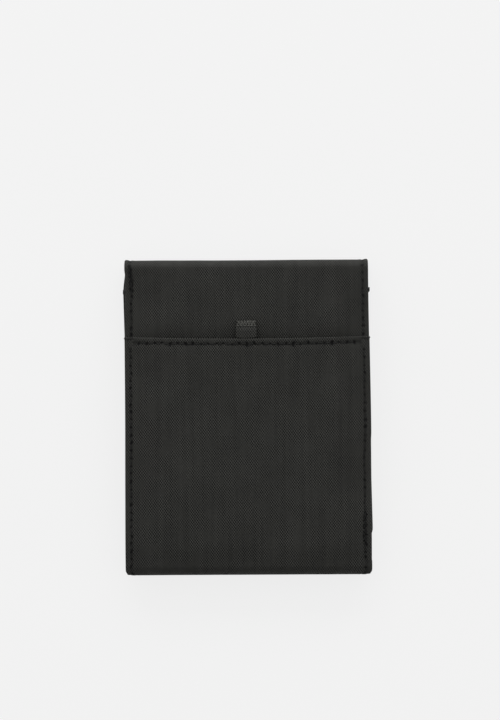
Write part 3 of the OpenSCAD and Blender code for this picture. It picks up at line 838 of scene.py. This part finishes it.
def seam_lie(side):
    """The tape's section is a flattened bow, drawn in where the two halves of the pouch meet."""

    def lie(u, s):
        t = u / (SEAM_WIDTH / 2)
        y = seam_top - s
        waver = slack(Vector((side * 40 * MM, y, u)), 0.35 * MM)
        bow = 1 - abs(t) ** 3
        drawn_in = 0.45 * MM * bump_at(t, 0.05, 0.12)
        reach = 4.0 * MM * bow - drawn_in - 0.2 * MM * bump_at(abs(t), 0.45, 0.1)
        middle = (Z_BACK + Z_FRONT) / 2
        tall = (Z_BACK - Z_FRONT) / 2 - 0.75 * MM
        z = middle - side * tall * math.sin(t * math.pi / 2)
        point = Vector((HALF - 4.3 * MM + reach + waver * bow, y, z))
        low = smooth(BOTTOM + 5 * MM - y, 0, 4.5 * MM)
        point.z += (middle - point.z) * 0.55 * low**2
        above = smooth(y, 30 * MM, 42 * MM) * smooth(Y_SPINE - y, 3 * MM, 9 * MM)
        below = smooth(-y, 8 * MM, 18 * MM) * smooth(y - BOTTOM, 6 * MM, 12 * MM)
        point.x += bow * MM * (0.75 * above if side < 0 else 0.35 * below)
        point = pouch_form(point)
        point.x *= side
        return point

    return lie


for side, label in ((-1, "left"), (1, "right")):
    tape_lie = seam_lie(side)
    seam_tape = cloth("side_seam_tape_" + label, bias_tape, tape_lie, SEAM_WIDTH, seam_length,
                      step=0.8 * MM)
    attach(seam_tape, "pouch")
    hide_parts("side_seam_" + label)
    runs = [(back_lie, row_along(side * x_row, 13 * MM, back_length - 31 * MM, 1.2 * MM)),
            (pocket_lie, row_along(side * x_row, pocket_line, pocket_length - 6 * MM, pocket_line)),
            (panel_lie, row_along(side * x_row, 2 * MM, panel_fold - 2.5 * MM, 0.0))]
    # back-tacks: the machine runs to and fro over the last centimetre or so
    lie, low, high = (pocket_lie, tack_from, tack_to) if side > 0 else (back_lie, 9 * MM, 19 * MM)
    for off in (-TACK_OFF, TACK_OFF):
        row = row_along(side * x_row + off, low, high, off + 1.1 * MM, 1.7 * MM, 1.5 * MM)
        runs.append((lie, row))
    # the thread ends are knotted where the seams start and stop
    knotted = [57.4, -47.2, -50.2, -53.2] if side > 0 else [53.1]
    knots = [tape_lie(0, seam_top - y * MM) for y in knotted]
    sewn("side_stitching_" + label, "pouch", runs, "side_topstitch_" + label, knots=knots)

# ---------------------------------------------------------------------------------------------
# Tab loop: a folded strip of twill, sewn down on the back above the pocket's mouth with a dense bar
# tack. Its free end hangs over the mouth.

anchor_low, anchor_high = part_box("tab_anchor")
loop_low, loop_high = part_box("tab_loop")
TAB_R = 0.5 * MM
TAB_EDGE = 0.22 * MM
tab_half = anchor_high.x
tab_end = loop_low.y - 0.7 * MM
tab_reach = anchor_high.y - tab_end - TAB_R
tab_legs = [(tab_reach, 0), (math.pi * TAB_R, 180), (tab_reach, 0)]
tab_length = sum(leg[0] for leg in tab_legs)
tab_section = walk((anchor_high.y, loop_high.z + 0.05 * MM), 180, tab_legs)


def tab_form(point):
    """The tab is pressed down by its tack, swells below it, and its free corners are eased. It was
    sewn on a little low and to the left."""
    below = smooth(anchor_low.y - point.y, -0.5 * MM, 1.5 * MM)
    over = smooth(point.z, loop_low.z + 0.3 * MM, loop_high.z)
    point.z += (0.28 * below - 0.22 * (1 - below)) * over * MM * (1 - 0.5 * (point.x / tab_half) ** 2)
    corner = smooth(tab_end + 1.2 * MM - point.y, 0, 1.2 * MM)
    point.x *= 1 - 0.07 * corner**2 + 0.03 * below * (1 - corner)
    point.y += 0.35 * MM * corner * (point.x / tab_half) ** 4
    point.y -= 0.3 * MM + 0.3 * MM * below
    point.x -= 0.65 * MM
    return point


tab_lie = laying(tab_section, tab_half, TAB_EDGE, settle=tab_form)
tab_width = 2 * (tab_half + 2 * MM)
twill_tab = twill_finish("nylon_twill_woven_tab")
tab_twill = cloth("tab_twill", twill_tab, tab_lie, tab_width, tab_length,
                  turn_lines(tab_half, TAB_EDGE, 4), bend_lines(tab_legs), step=0.4 * MM, thickness=0.3 * MM)
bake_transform(tab_twill)
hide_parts("tab_anchor", "tab_loop")

# Polyester floss, spun and not bonded: a dull grey, with painted shade where its plies meet
floss = thread_finish("polyester_floss", 0.7, "0c0c0c", "70706b")[0]

TACK_PITCH = 0.62 * MM
tack_runs = []
tack_count = int(2 * (tab_half - 0.35 * MM) / TACK_PITCH)
for i in range(tack_count):
    x = (i + 0.5 - tack_count / 2) * TACK_PITCH
    lean = TACK_PITCH * (0.5 if i % 2 else -0.5)
    reach = 0.35 * MM * noise.noise(Vector((i * 2.3, 0.7, 1.9)))
    tack_runs.append(((x - lean, 0.35 * MM + reach), (x + lean, 2.55 * MM + reach)))
for s in (0.5 * MM, 2.4 * MM):
    for k in range(6):
        x = (k * 1.45 - 4.1) * MM
        tack_runs.append(((x, s), (x + 1.3 * MM, s + 0.1 * MM)))
sewn("tab_bar_tack", "pouch", [(tab_lie, tack_runs)], "tab_bartack", floss)

# ---------------------------------------------------------------------------------------------
# Divider: two plies of coated cloth with a shielding foil between, stitched in with the side seams.
# It parts the passport compartment from the coins behind the zip.

# Foil-backed cloth: silver grey, crinkled and half glossy
foil_cloth, tree, shader = new_material("foil_backed_cloth", Roughness=0.38, Metallic=0.55,
                                        Specular_IOR_Level=0.5)
place = add(tree, "ShaderNodeUVMap", uv_map="cloth").outputs["UV"]
crinkle = add(tree, "ShaderNodeTexVoronoi", {"Vector": place, "Scale": 0.22}, feature="SMOOTH_F1")
fine = add(tree, "ShaderNodeTexNoise", {"Vector": place, "Scale": 1.4, "Detail": 4.0})
tint = add(tree, "ShaderNodeMix", {"Factor": fine.outputs["Fac"], "A": linear("6d6f73"),
                                   "B": linear("8f9195")}, data_type="RGBA")
tree.links.new(tint.outputs["Result"], shader.inputs["Base Color"])
crease = add(tree, "ShaderNodeBump", {"Height": crinkle.outputs["Distance"], "Distance": 0.4 * MM,
                                      "Strength": 0.5})
tree.links.new(crease.outputs["Normal"], shader.inputs["Normal"])

divider_low, divider_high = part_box("divider")
divider_half = divider_high.x - 0.6 * MM
divider_length = divider_high.y - divider_low.y - 1 * MM
divider_section = walk((divider_low.y + 1 * MM, divider_low.z), 0, [(divider_length, 0)])
divider_lie = laying(divider_section, HALF, relief=lambda point, s: slack(point, 0.2 * MM))
divider_cloth = cloth("divider_cloth", foil_cloth, divider_lie, 2 * divider_half, divider_length,
                      step=2 * MM, thickness=divider_high.z - divider_low.z)
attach(divider_cloth, "pouch")
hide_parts("divider")

# ---------------------------------------------------------------------------------------------
# Yoke and mouth: a narrow band of twill above the zip, and a grosgrain ribbon folded over it, the
# coin lining and the divider. The ribbon's cut ends stick out of the side seams.

yoke_low, yoke_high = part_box("front_yoke")
yoke_legs = [(FOLD_BACK, 0), (math.pi * FOLD_R, 180), (yoke_high.y - yoke_low.y - FOLD_R + 1.5 * MM, 0)]
yoke_length = sum(leg[0] for leg in yoke_legs)
yoke_section = walk((yoke_low.y + FOLD_R + FOLD_BACK, Z_FRONT + 2 * FOLD_R), 180, yoke_legs)
yoke_fold = FOLD_BACK + math.pi * FOLD_R / 2
yoke_relief = pouch_relief(yoke_length + 9 * MM)
yoke_lie = laying(yoke_section, HALF, THIN_R, relief=yoke_relief, settle=pouch_form)
yoke_rows = [seam_row("sides", x_row, 0.0), seam_row("across", yoke_fold + 2 * MM, 0.0)]
twill_yoke = twill_finish("nylon_twill_woven_yoke", yoke_rows)
yoke_twill = cloth("yoke_twill", twill_yoke, yoke_lie, gusset_width, yoke_length,
                   turn_lines(HALF, THIN_R) + grooves, bend_lines(yoke_legs, 6))
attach(yoke_twill, "pouch")
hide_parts("front_yoke")

# Grosgrain ribbon, woven polyester: black, with strong cross ribs 0.7 mm apart
grosgrain = tape_finish("polyester_grosgrain_woven", "0d0d0d", "333332", 0.7, slope=(1, 0))
binding_low, binding_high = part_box("mouth_binding")
BINDING_R = (binding_high.z - binding_low.z) / 2
binding_face = binding_high.y - binding_low.y - BINDING_R
binding_legs = [(binding_face, 0), (math.pi * BINDING_R, 180), (binding_face, 0)]
binding_length = sum(leg[0] for leg in binding_legs)
binding_section = walk((binding_low.y, binding_low.z), 0, binding_legs)
binding_half = binding_high.x + 0.35 * MM


def binding_relief(point, s):
    """The ribbon is drawn down along its two stitched edges and swells over the fold."""
    inward = min(s, binding_length - s)
    return 0.12 * MM * smooth(inward, 0, 2 * MM) - 0.15 * MM * bump_at(inward, 1 * MM, 0.4 * MM)


def binding_form(point):
    """Its ends are pressed thin in the seams, and the right one was cut crooked."""
    end = smooth(abs(point.x), HALF - 7 * MM, HALF - 1 * MM)
    middle = (binding_low.z + binding_high.z) / 2
    point.z += (middle - point.z) * 0.55 * end + 1.2 * MM * end
    stray = smooth(abs(point.x), HALF - 0.8 * MM, binding_half)
    point.y += (point.y - binding_high.y + 1.4 * MM) * -0.5 * stray
    if point.x > 0:
        point.y += 0.8 * MM * stray
    point.x *= 1 - NARROW * 0.8
    point.x -= LEAN
    return point


binding_lie = laying(binding_section, 2 * HALF, relief=binding_relief, settle=binding_form)
mouth_ribbon = cloth("mouth_ribbon", grosgrain, binding_lie, 2 * binding_half, binding_length,
                     [side * (HALF - i * 0.3 * MM) for side in (-1, 1) for i in range(4)],
                     bend_lines(binding_legs), step=0.9 * MM, thickness=0.3 * MM)
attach(mouth_ribbon, "pouch")
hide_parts("mouth_binding")

# ---------------------------------------------------------------------------------------------
# Zip: two woven tapes with a nylon monofilament coil sewn to the edge of each. The turns of the two
# coils mesh in the middle, and a metal stop is clamped on at each end.

# Zip tape, herringbone-woven polyester: black and matt
zip_weave = tape_finish("polyester_zip_tape_woven", "0c0c0c", "2c2c2b", 0.8, slope=(0.7, 0.7))
for label in ("upper", "lower"):
    tape_low, tape_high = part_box("zip_tape_" + label)
    tape_length = tape_high.y - tape_low.y
    tape_section = walk((tape_low.y, tape_low.z), 0, [(tape_length, 0)])
    tape_lie = laying(tape_section, HALF, relief=lambda point, s: slack(point, 0.05 * MM))
    tape = cloth("zip_tape_cloth_" + label, zip_weave, tape_lie, tape_high.x - tape_low.x, tape_length,
                 step=1 * MM, thickness=tape_high.z - tape_low.z)
    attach(tape, "pouch")
    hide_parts("zip_tape_" + label)

# Zip coil, drawn nylon monofilament: black, smooth and slightly glossy, dulled where the slider rubs
monofilament, tree, shader = new_material("nylon_monofilament_drawn", Roughness=0.32, Specular_IOR_Level=0.5)
place = add(tree, "ShaderNodeTexCoord").outputs["Object"]
rub = add(tree, "ShaderNodeTexNoise", {"Vector": place, "Scale": 700.0, "Detail": 2.0})
shade = add(tree, "ShaderNodeMix", {"Factor": rub.outputs["Fac"], "A": linear("0e0e0e"),
                                    "B": linear("262626")}, data_type="RGBA")
tree.links.new(shade.outputs["Result"], shader.inputs["Base Color"])
dull = add(tree, "ShaderNodeMapRange", {"Value": rub.outputs["Fac"], "To Min": 0.22, "To Max": 0.48})
tree.links.new(dull.outputs["Result"], shader.inputs["Roughness"])

WIRE_R = 0.26 * MM
COIL_PITCH = 1.25 * MM
TURN_STEPS = 10
zip_y = (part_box("zip_coil_upper")[0].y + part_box("zip_coil_lower")[1].y) / 2
for side, label in ((1, "upper"), (-1, "lower")):
    coil_low, coil_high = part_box("zip_coil_" + label)
    wound = (coil_high.y - coil_low.y) / 2 + 0.35 * MM
    tall = (coil_high.z - coil_low.z) / 2
    turns = int((coil_high.x - coil_low.x) / COIL_PITCH)
    axis_y = (coil_high.y if side > 0 else coil_low.y) - side * wound
    bm = bmesh.new()
    ring = bmesh.ops.create_circle(bm, segments=6, radius=WIRE_R)["verts"]
    bmesh.ops.rotate(bm, verts=ring, matrix=Matrix.Rotation(math.pi / 2, 3, "X"))
    bmesh.ops.translate(bm, verts=ring, vec=(0, 0, tall - WIRE_R))
    bmesh.ops.rotate(bm, verts=ring, matrix=Matrix.Rotation(math.pi / 2, 3, "Z"))
    bmesh.ops.spin(bm, geom=bm.edges[:], cent=(0, 0, 0), axis=(1, 0, 0),
                   dvec=(COIL_PITCH / TURN_STEPS, 0, 0), angle=2 * math.pi * turns,
                   steps=TURN_STEPS * turns, use_duplicate=False)
    bmesh.ops.scale(bm, verts=bm.verts, vec=(1, (wound - WIRE_R) / (tall - WIRE_R), 1))
    start = coil_low.x + (COIL_PITCH / 2 if side > 0 else 0)
    bmesh.ops.translate(bm, verts=bm.verts, vec=(start, axis_y, (coil_low.z + coil_high.z) / 2))
    for vert in bm.verts:
        vert.co = pouch_form(vert.co)
    bmesh.ops.holes_fill(bm, edges=[edge for edge in bm.edges if edge.is_boundary])
    bmesh.ops.recalc_face_normals(bm, faces=bm.faces[:])
    coil = piece_from(bm, "zip_coil_turns_" + label, monofilament)
    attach(coil, "pouch")
    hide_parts("zip_coil_" + label)

# Black-painted zinc: smooth enamel over the casting, worn to dull grey on its edges and high spots
painted_zinc, tree, shader = new_material("painted_zinc_cast", Roughness=0.34, Metallic=0.35,
                                          Coat_Weight=0.25, Coat_Roughness=0.3)
place = add(tree, "ShaderNodeTexCoord").outputs["Object"]
edge = add(tree, "ShaderNodeNewGeometry").outputs["Pointiness"]
orange = add(tree, "ShaderNodeTexNoise", {"Vector": place, "Scale": 1500.0, "Detail": 3.0})
worn = add(tree, "ShaderNodeMath", {0: orange.outputs["Fac"], 1: 0.12, 2: edge}, operation="MULTIPLY_ADD")
worn = add(tree, "ShaderNodeMapRange", {"Value": worn.outputs[0], "From Min": 0.60, "From Max": 0.68})
coat = add(tree, "ShaderNodeMix", {"Factor": worn.outputs["Result"], "A": linear("171718"),
                                   "B": linear("5a5a5c")}, data_type="RGBA")
tree.links.new(coat.outputs["Result"], shader.inputs["Base Color"])
peel = add(tree, "ShaderNodeBump", {"Height": orange.outputs["Fac"], "Distance": 0.02 * MM, "Strength": 0.5})
tree.links.new(peel.outputs["Normal"], shader.inputs["Normal"])


def block(bm, low, high, round_to=0.0, corners=0.0):
    """A cast block between two corners, its upright corners and then all its edges rounded."""
    made = bmesh.ops.create_cube(bm, size=1)["verts"]
    bmesh.ops.scale(bm, verts=made, vec=Vector(high) - Vector(low))
    bmesh.ops.translate(bm, verts=made, vec=(Vector(high) + Vector(low)) / 2)
    for radius, upright in ((corners, True), (round_to, False)):
        if radius:
            edges = list({edge for vert in made if vert.is_valid for edge in vert.link_edges})
            if upright:
                edges = [e for e in edges if abs((e.verts[0].co - e.verts[1].co).normalized().z) > 0.9]
            cut = bmesh.ops.bevel(bm, geom=edges, offset=radius, offset_type="OFFSET",
                                  segments=4 if upright else 2, profile=0.5, affect="EDGES", material=-1)
            made = list({vert for vert in made if vert.is_valid} | set(cut["verts"]))


for label in ("closed", "open"):
    stop_low, stop_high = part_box("zip_stop_" + label)
    bm = bmesh.new()
    grip = 0.5 * MM
    block(bm, (stop_low.x, stop_low.y - grip, stop_low.z),
          (stop_high.x, stop_high.y + grip, stop_low.z + 0.5 * MM), round_to=0.14 * MM)
    for y in (stop_low.y - grip, stop_high.y + grip - 0.4 * MM):
        block(bm, (stop_low.x, y, stop_low.z + 0.2 * MM),
              (stop_high.x, y + 0.4 * MM, stop_high.z), round_to=0.12 * MM)
    stop = piece_from(bm, "zip_stop_clamp_" + label, painted_zinc)
    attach(stop, "pouch")
    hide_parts("zip_stop_" + label)

# ---------------------------------------------------------------------------------------------
# Slider and pull: a small cast body of two plates joined by a post, with a bridge across the front
# plate. A ribbon is looped through the bridge and sewn to itself as the pull.

slider_low, slider_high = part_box("zip_slider")
pull_low, pull_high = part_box("zip_pull_ribbon")
PLATE = 0.5 * MM
BRIDGE_T = 0.4 * MM
BRIDGE_GAP = 0.6 * MM
BRIDGE_W = 2.2 * MM
plate_z = slider_low.z + BRIDGE_T + BRIDGE_GAP
slider_x = (slider_low.x + slider_high.x) / 2
bm = bmesh.new()
for z in (plate_z, slider_high.z - PLATE):
    block(bm, (slider_low.x, slider_low.y, z), (slider_high.x, slider_high.y, z + PLATE),
          round_to=0.13 * MM, corners=2.0 * MM)
for y in (slider_low.y, slider_high.y - 0.45 * MM):
    block(bm, (slider_low.x + 1.6 * MM, y, plate_z),
          (slider_high.x - 2.2 * MM, y + 0.45 * MM, plate_z + 1.0 * MM), round_to=0.12 * MM)
block(bm, (slider_x, zip_y - 0.35 * MM, plate_z),
      (slider_x + 2.1 * MM, zip_y + 0.35 * MM, slider_high.z), round_to=0.1 * MM, corners=0.3 * MM)
rise = walk((slider_x - 2.83 * MM, plate_z + 0.1 * MM), -90,
            [(0.45 * MM, 0), (0.9 * MM, 90), (3.8 * MM, 0), (0.9 * MM, 90), (0.45 * MM, 0)])
strap = bmesh.ops.create_grid(bm, x_segments=2, y_segments=30, size=0.5)["verts"]
bmesh.ops.scale(bm, verts=strap, vec=(BRIDGE_W, 6.5 * MM, 1))
strap_faces = list({face for vert in strap for face in vert.link_faces})
for vert in strap:
    place, out = rise(vert.co.y + 3.25 * MM)
    vert.co = Vector((place.y, zip_y + vert.co.x, place.z))
bmesh.ops.recalc_face_normals(bm, faces=strap_faces)
bmesh.ops.solidify(bm, geom=strap_faces, thickness=BRIDGE_T)
slider_body = piece_from(bm, "zip_slider_body", painted_zinc)
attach(slider_body, "slider")
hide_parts("zip_slider")

PULL_T = 0.28 * MM
PLY_GAP = 0.17 * MM
pull_half = (pull_high.x - pull_low.x) / 2
pull_x = (pull_high.x + pull_low.x) / 2
pull_mid = slider_low.z + BRIDGE_T / 2
LOOP_R = 0.55 * MM
pull_run = pull_high.y - LOOP_R - pull_low.y
pull_length = 2 * pull_run + math.pi * LOOP_R


def pull_lie(u, s):
    """Two plies lie together down the pull and part round the bridge."""
    over = s > pull_length / 2
    if over:
        s = pull_length - s
    if s < pull_run:
        y = pull_low.y + s
        away = PLY_GAP + (LOOP_R - PLY_GAP) * smooth(s, pull_run - 5 * MM, pull_run - 2 * MM)
    else:
        turn = (s - pull_run) / LOOP_R
        y = pull_high.y - LOOP_R + LOOP_R * math.sin(turn)
        away = LOOP_R * math.cos(turn)
    drop = 0.3 * MM * smooth(pull_high.y - y, 3 * MM, 9 * MM)
    bow = 0.25 * MM * math.sin((pull_high.y - y) / (pull_high.y - pull_low.y) * math.pi * 1.3)
    return Vector((pull_x + u + bow, y, pull_mid + drop + (-away if over else away)))


pull = cloth("zip_pull_tape", grosgrain, pull_lie, 2 * pull_half, pull_length,
             step=0.5 * MM, thickness=PULL_T)
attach(pull, "slider")
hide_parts("zip_pull_ribbon")

# the pull is sewn to itself with a crossed box, two stitches to each line
box_x = pull_half - 0.6 * MM
box_low = pull_length - 13.5 * MM
box_high = pull_length - 10.5 * MM
crossed = [((-box_x, box_low), (box_x, box_high)), ((-box_x, box_high), (box_x, box_low)),
           ((-box_x, box_low), (box_x, box_low)), ((-box_x, box_high), (box_x, box_high)),
           ((-box_x, box_low), (-box_x, box_high)), ((box_x, box_low), (box_x, box_high))]
crossed_row = []
for start, end in crossed:
    middle = [(a + b) / 2 for a, b in zip(start, end)]
    crossed_row += [(start, middle), (middle, end)]
sewn("zip_pull_stitching", "slider", [(pull_lie, crossed_row)])

# ---------------------------------------------------------------------------------------------
# Pockets under the flap: two card slots on the front and a wide slip pocket inside the flap, all of
# lining cloth with a turned, topstitched mouth.

SLOT_R = 0.25 * MM
SLOT_HEM = 5 * MM


def slip_pocket(name, node, body, z, facing, settle, extra=0.0):
    """A slip pocket over a node's outline. Its hem is turned under and its two sides and foot are
    sewn down. Facing is -1 where it looks down and 1 where it looks up."""
    low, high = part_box(node)
    half = high.x - 0.2 * MM
    deep = high.y - low.y - SLOT_R
    if facing < 0:
        legs = [(0.01 * MM, 0), (deep, 0), (math.pi * SLOT_R, 180), (SLOT_HEM, 0)]
        section = walk((low.y - 0.01 * MM, z), 0, legs)
    else:
        legs = [(SLOT_HEM, 0), (math.pi * SLOT_R, 180), (deep, 0)]
        section = walk((high.y - SLOT_R - SLOT_HEM, z - 2 * SLOT_R), 0, legs)
    length = sum(leg[0] for leg in legs)
    hem = SLOT_HEM + math.pi * SLOT_R / 2
    mouth, foot = (length - hem, 0.0) if facing < 0 else (hem, length)

    def relief(point, s):
        main = 1.0 if (s - mouth) * (foot - mouth) > 0 else 0.0
        inward = min(half - abs(point.x), abs(foot - s))
        sunk = 0.3 * MM * (1 - smooth(inward, 0.8 * MM, 3 * MM))
        sunk += extra * (1 - smooth(abs(foot - s), 8 * MM, 16 * MM))
        sewn_down = 0.12 * MM * bump_at(abs(s - mouth), 2.5 * MM, 0.4 * MM)
        soft = slack(point + Vector((0, 0, z * 9)), 0.14 * MM) * smooth(inward, 1 * MM, 8 * MM)
        return main * (soft - sunk - sewn_down - 0.1 * MM)

    lie = laying(section, half, SLOT_R, relief=relief, settle=settle)
    width = 2 * (half + 2 * MM)
    made = cloth(name, taffeta, lie, width, length, turn_lines(half, SLOT_R, 4), bend_lines(legs, 6),
                 step=1.4 * MM, thickness=LINING)
    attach(made, body)
    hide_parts(node)
    toward = 1 if foot > mouth else -1
    runs = [(lie, row_across(mouth + toward * 2.5 * MM, half - 1 * MM)),
            (lie, row_across(foot - toward * 1.4 * MM, half - 1 * MM))]
    row_from, row_to = sorted((mouth + toward * 3 * MM, foot - toward * 2 * MM))
    return runs + [(lie, row_along(side * (half - 1.4 * MM), row_from, row_to, 0)) for side in (-1, 1)]


def under_front(point):
    """Card slots lie on the front and follow how soft it is, without its narrowing."""
    point.z += 0.4 * MM * smooth(-point.y, 42 * MM, 66 * MM)
    return point


card_runs = []
for label, extra in (("upper", 0.0), ("lower", 0.45 * MM)):
    node = "card_slot_" + label
    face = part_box(node)[0].z
    card_runs += slip_pocket("card_slot_cloth_" + label, node, "pouch", face, -1, under_front, extra)
sewn("card_slot_stitching", "pouch", card_runs, "card_slot_topstitch")
flap_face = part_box("flap_pocket")[1].z
flap_pocket_runs = slip_pocket("flap_pocket_cloth", "flap_pocket", "flap", flap_face, 1, flap_askew)
sewn("flap_pocket_stitching", "flap", flap_pocket_runs)

# ---------------------------------------------------------------------------------------------
# Closure: a hook patch on the flap's lining that presses into a loop patch on the front. Both are
# woven nylon tapes, sewn on round their edges.


def patch_tape(name, finish, low, high, z, facing, bulge, rough=0.0):
    """A patch between two corners. Its face, at z, looks down where facing is -1 and up where it
    is 1."""
    half = (high.x - low.x) / 2
    length = high.y - low.y

    def lie(u, s):
        y = low.y + s if facing < 0 else high.y - s
        inward = min(half - abs(u), s, length - s)
        face = bulge * smooth(inward, 0, 1.4 * MM) - 0.12 * MM * bump_at(inward, 1.1 * MM, 0.4 * MM)
        tuft = noise.noise(Vector((u / MM * 1.3, s / MM * 1.3, 2.2)))
        pile = rough * tuft * smooth(inward, 1 * MM, 2 * MM)
        return Vector((u, y, z + facing * (face + pile)))

    return cloth(name, finish, lie, 2 * half, length, step=0.5 * MM, thickness=0.45 * MM), lie


# Loop tape, knitted and brushed nylon: matt black, a tangled pile of fine loops
brushed_loops, tree, shader = new_material("nylon_loop_pile_brushed", Roughness=0.95, Sheen_Weight=0.5,
                                           Sheen_Roughness=0.6, Specular_IOR_Level=0.1)
place = add(tree, "ShaderNodeTexCoord").outputs["Object"]
tangle = add(tree, "ShaderNodeTexNoise", {"Vector": place, "Scale": 1800.0, "Detail": 5.0, "Distortion": 2.0})
pile = add(tree, "ShaderNodeMix", {"Factor": tangle.outputs["Fac"], "A": linear("060606"),
                                   "B": linear("2b2b2b")}, data_type="RGBA")
tree.links.new(pile.outputs["Result"], shader.inputs["Base Color"])
fuzz = add(tree, "ShaderNodeBump", {"Height": tangle.outputs["Fac"], "Distance": 0.5 * MM, "Strength": 1.0})
tree.links.new(fuzz.outputs["Normal"], shader.inputs["Normal"])

soft_low, soft_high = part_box("front_loop_patch")
loop_tape, loop_lie = patch_tape("loop_patch", brushed_loops, soft_low, soft_high,
                                 soft_high.z - 0.75 * MM, -1, 0.5 * MM, rough=0.2 * MM)
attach(loop_tape, "pouch")
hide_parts("front_loop_patch")

hook_low, hook_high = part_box("flap_hook_patch")
hook_tape, hook_lie = patch_tape("hook_patch", grosgrain, hook_low, hook_high,
                                 hook_low.z + 0.3 * MM, 1, 0.15 * MM)
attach(hook_tape, "flap")
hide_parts("flap_hook_patch")

HOOK_PITCH = 1.6 * MM
HOOK_R = 0.28 * MM
HOOK_WIRE = 0.11 * MM
SHANK = 0.5 * MM
bm = bmesh.new()
for i in range(int((hook_high.x - hook_low.x - 3 * MM) / HOOK_PITCH)):
    for j in range(int((hook_high.y - hook_low.y - 3 * MM) / HOOK_PITCH)):
        foot = Vector((hook_low.x + 2 * MM + i * HOOK_PITCH, hook_low.y + 2 * MM + j * HOOK_PITCH,
                       hook_low.z + 0.4 * MM))
        ring = bmesh.ops.create_circle(bm, segments=4, radius=HOOK_WIRE)["verts"]
        bmesh.ops.translate(bm, verts=ring, vec=foot)
        edges = list({edge for vert in ring for edge in vert.link_edges})
        raised = bmesh.ops.extrude_edge_only(bm, edges=edges)["geom"]
        shank = [g for g in raised if isinstance(g, bmesh.types.BMVert)]
        bmesh.ops.translate(bm, verts=shank, vec=(0, 0, SHANK))
        top = [g for g in raised if isinstance(g, bmesh.types.BMEdge)]
        top = [e for e in top if all(v.co.z > foot.z + 0.4 * MM for v in e.verts)]
        flip = 1 if (i + j) % 2 else -1
        bmesh.ops.spin(bm, geom=top, cent=foot + Vector((flip * HOOK_R, 0, SHANK)), axis=(0, 1, 0),
                       angle=flip * math.radians(200), steps=5, use_duplicate=False)
bmesh.ops.holes_fill(bm, edges=[edge for edge in bm.edges if edge.is_boundary])
bmesh.ops.recalc_face_normals(bm, faces=bm.faces[:])
hooks = piece_from(bm, "hook_patch_hooks", monofilament)
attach(hooks, "flap")

PATCH_IN = 1.1 * MM
for label, body, lie, low, high in (("loop", "pouch", loop_lie, soft_low, soft_high),
                                    ("hook", "flap", hook_lie, hook_low, hook_high)):
    half = (high.x - low.x) / 2 - PATCH_IN
    ends = (PATCH_IN, high.y - low.y - PATCH_IN)
    runs = [(lie, row_across(s, half, 2.4 * MM, 1.9 * MM)) for s in ends]
    sewn(label + "_patch_stitching", body, runs)
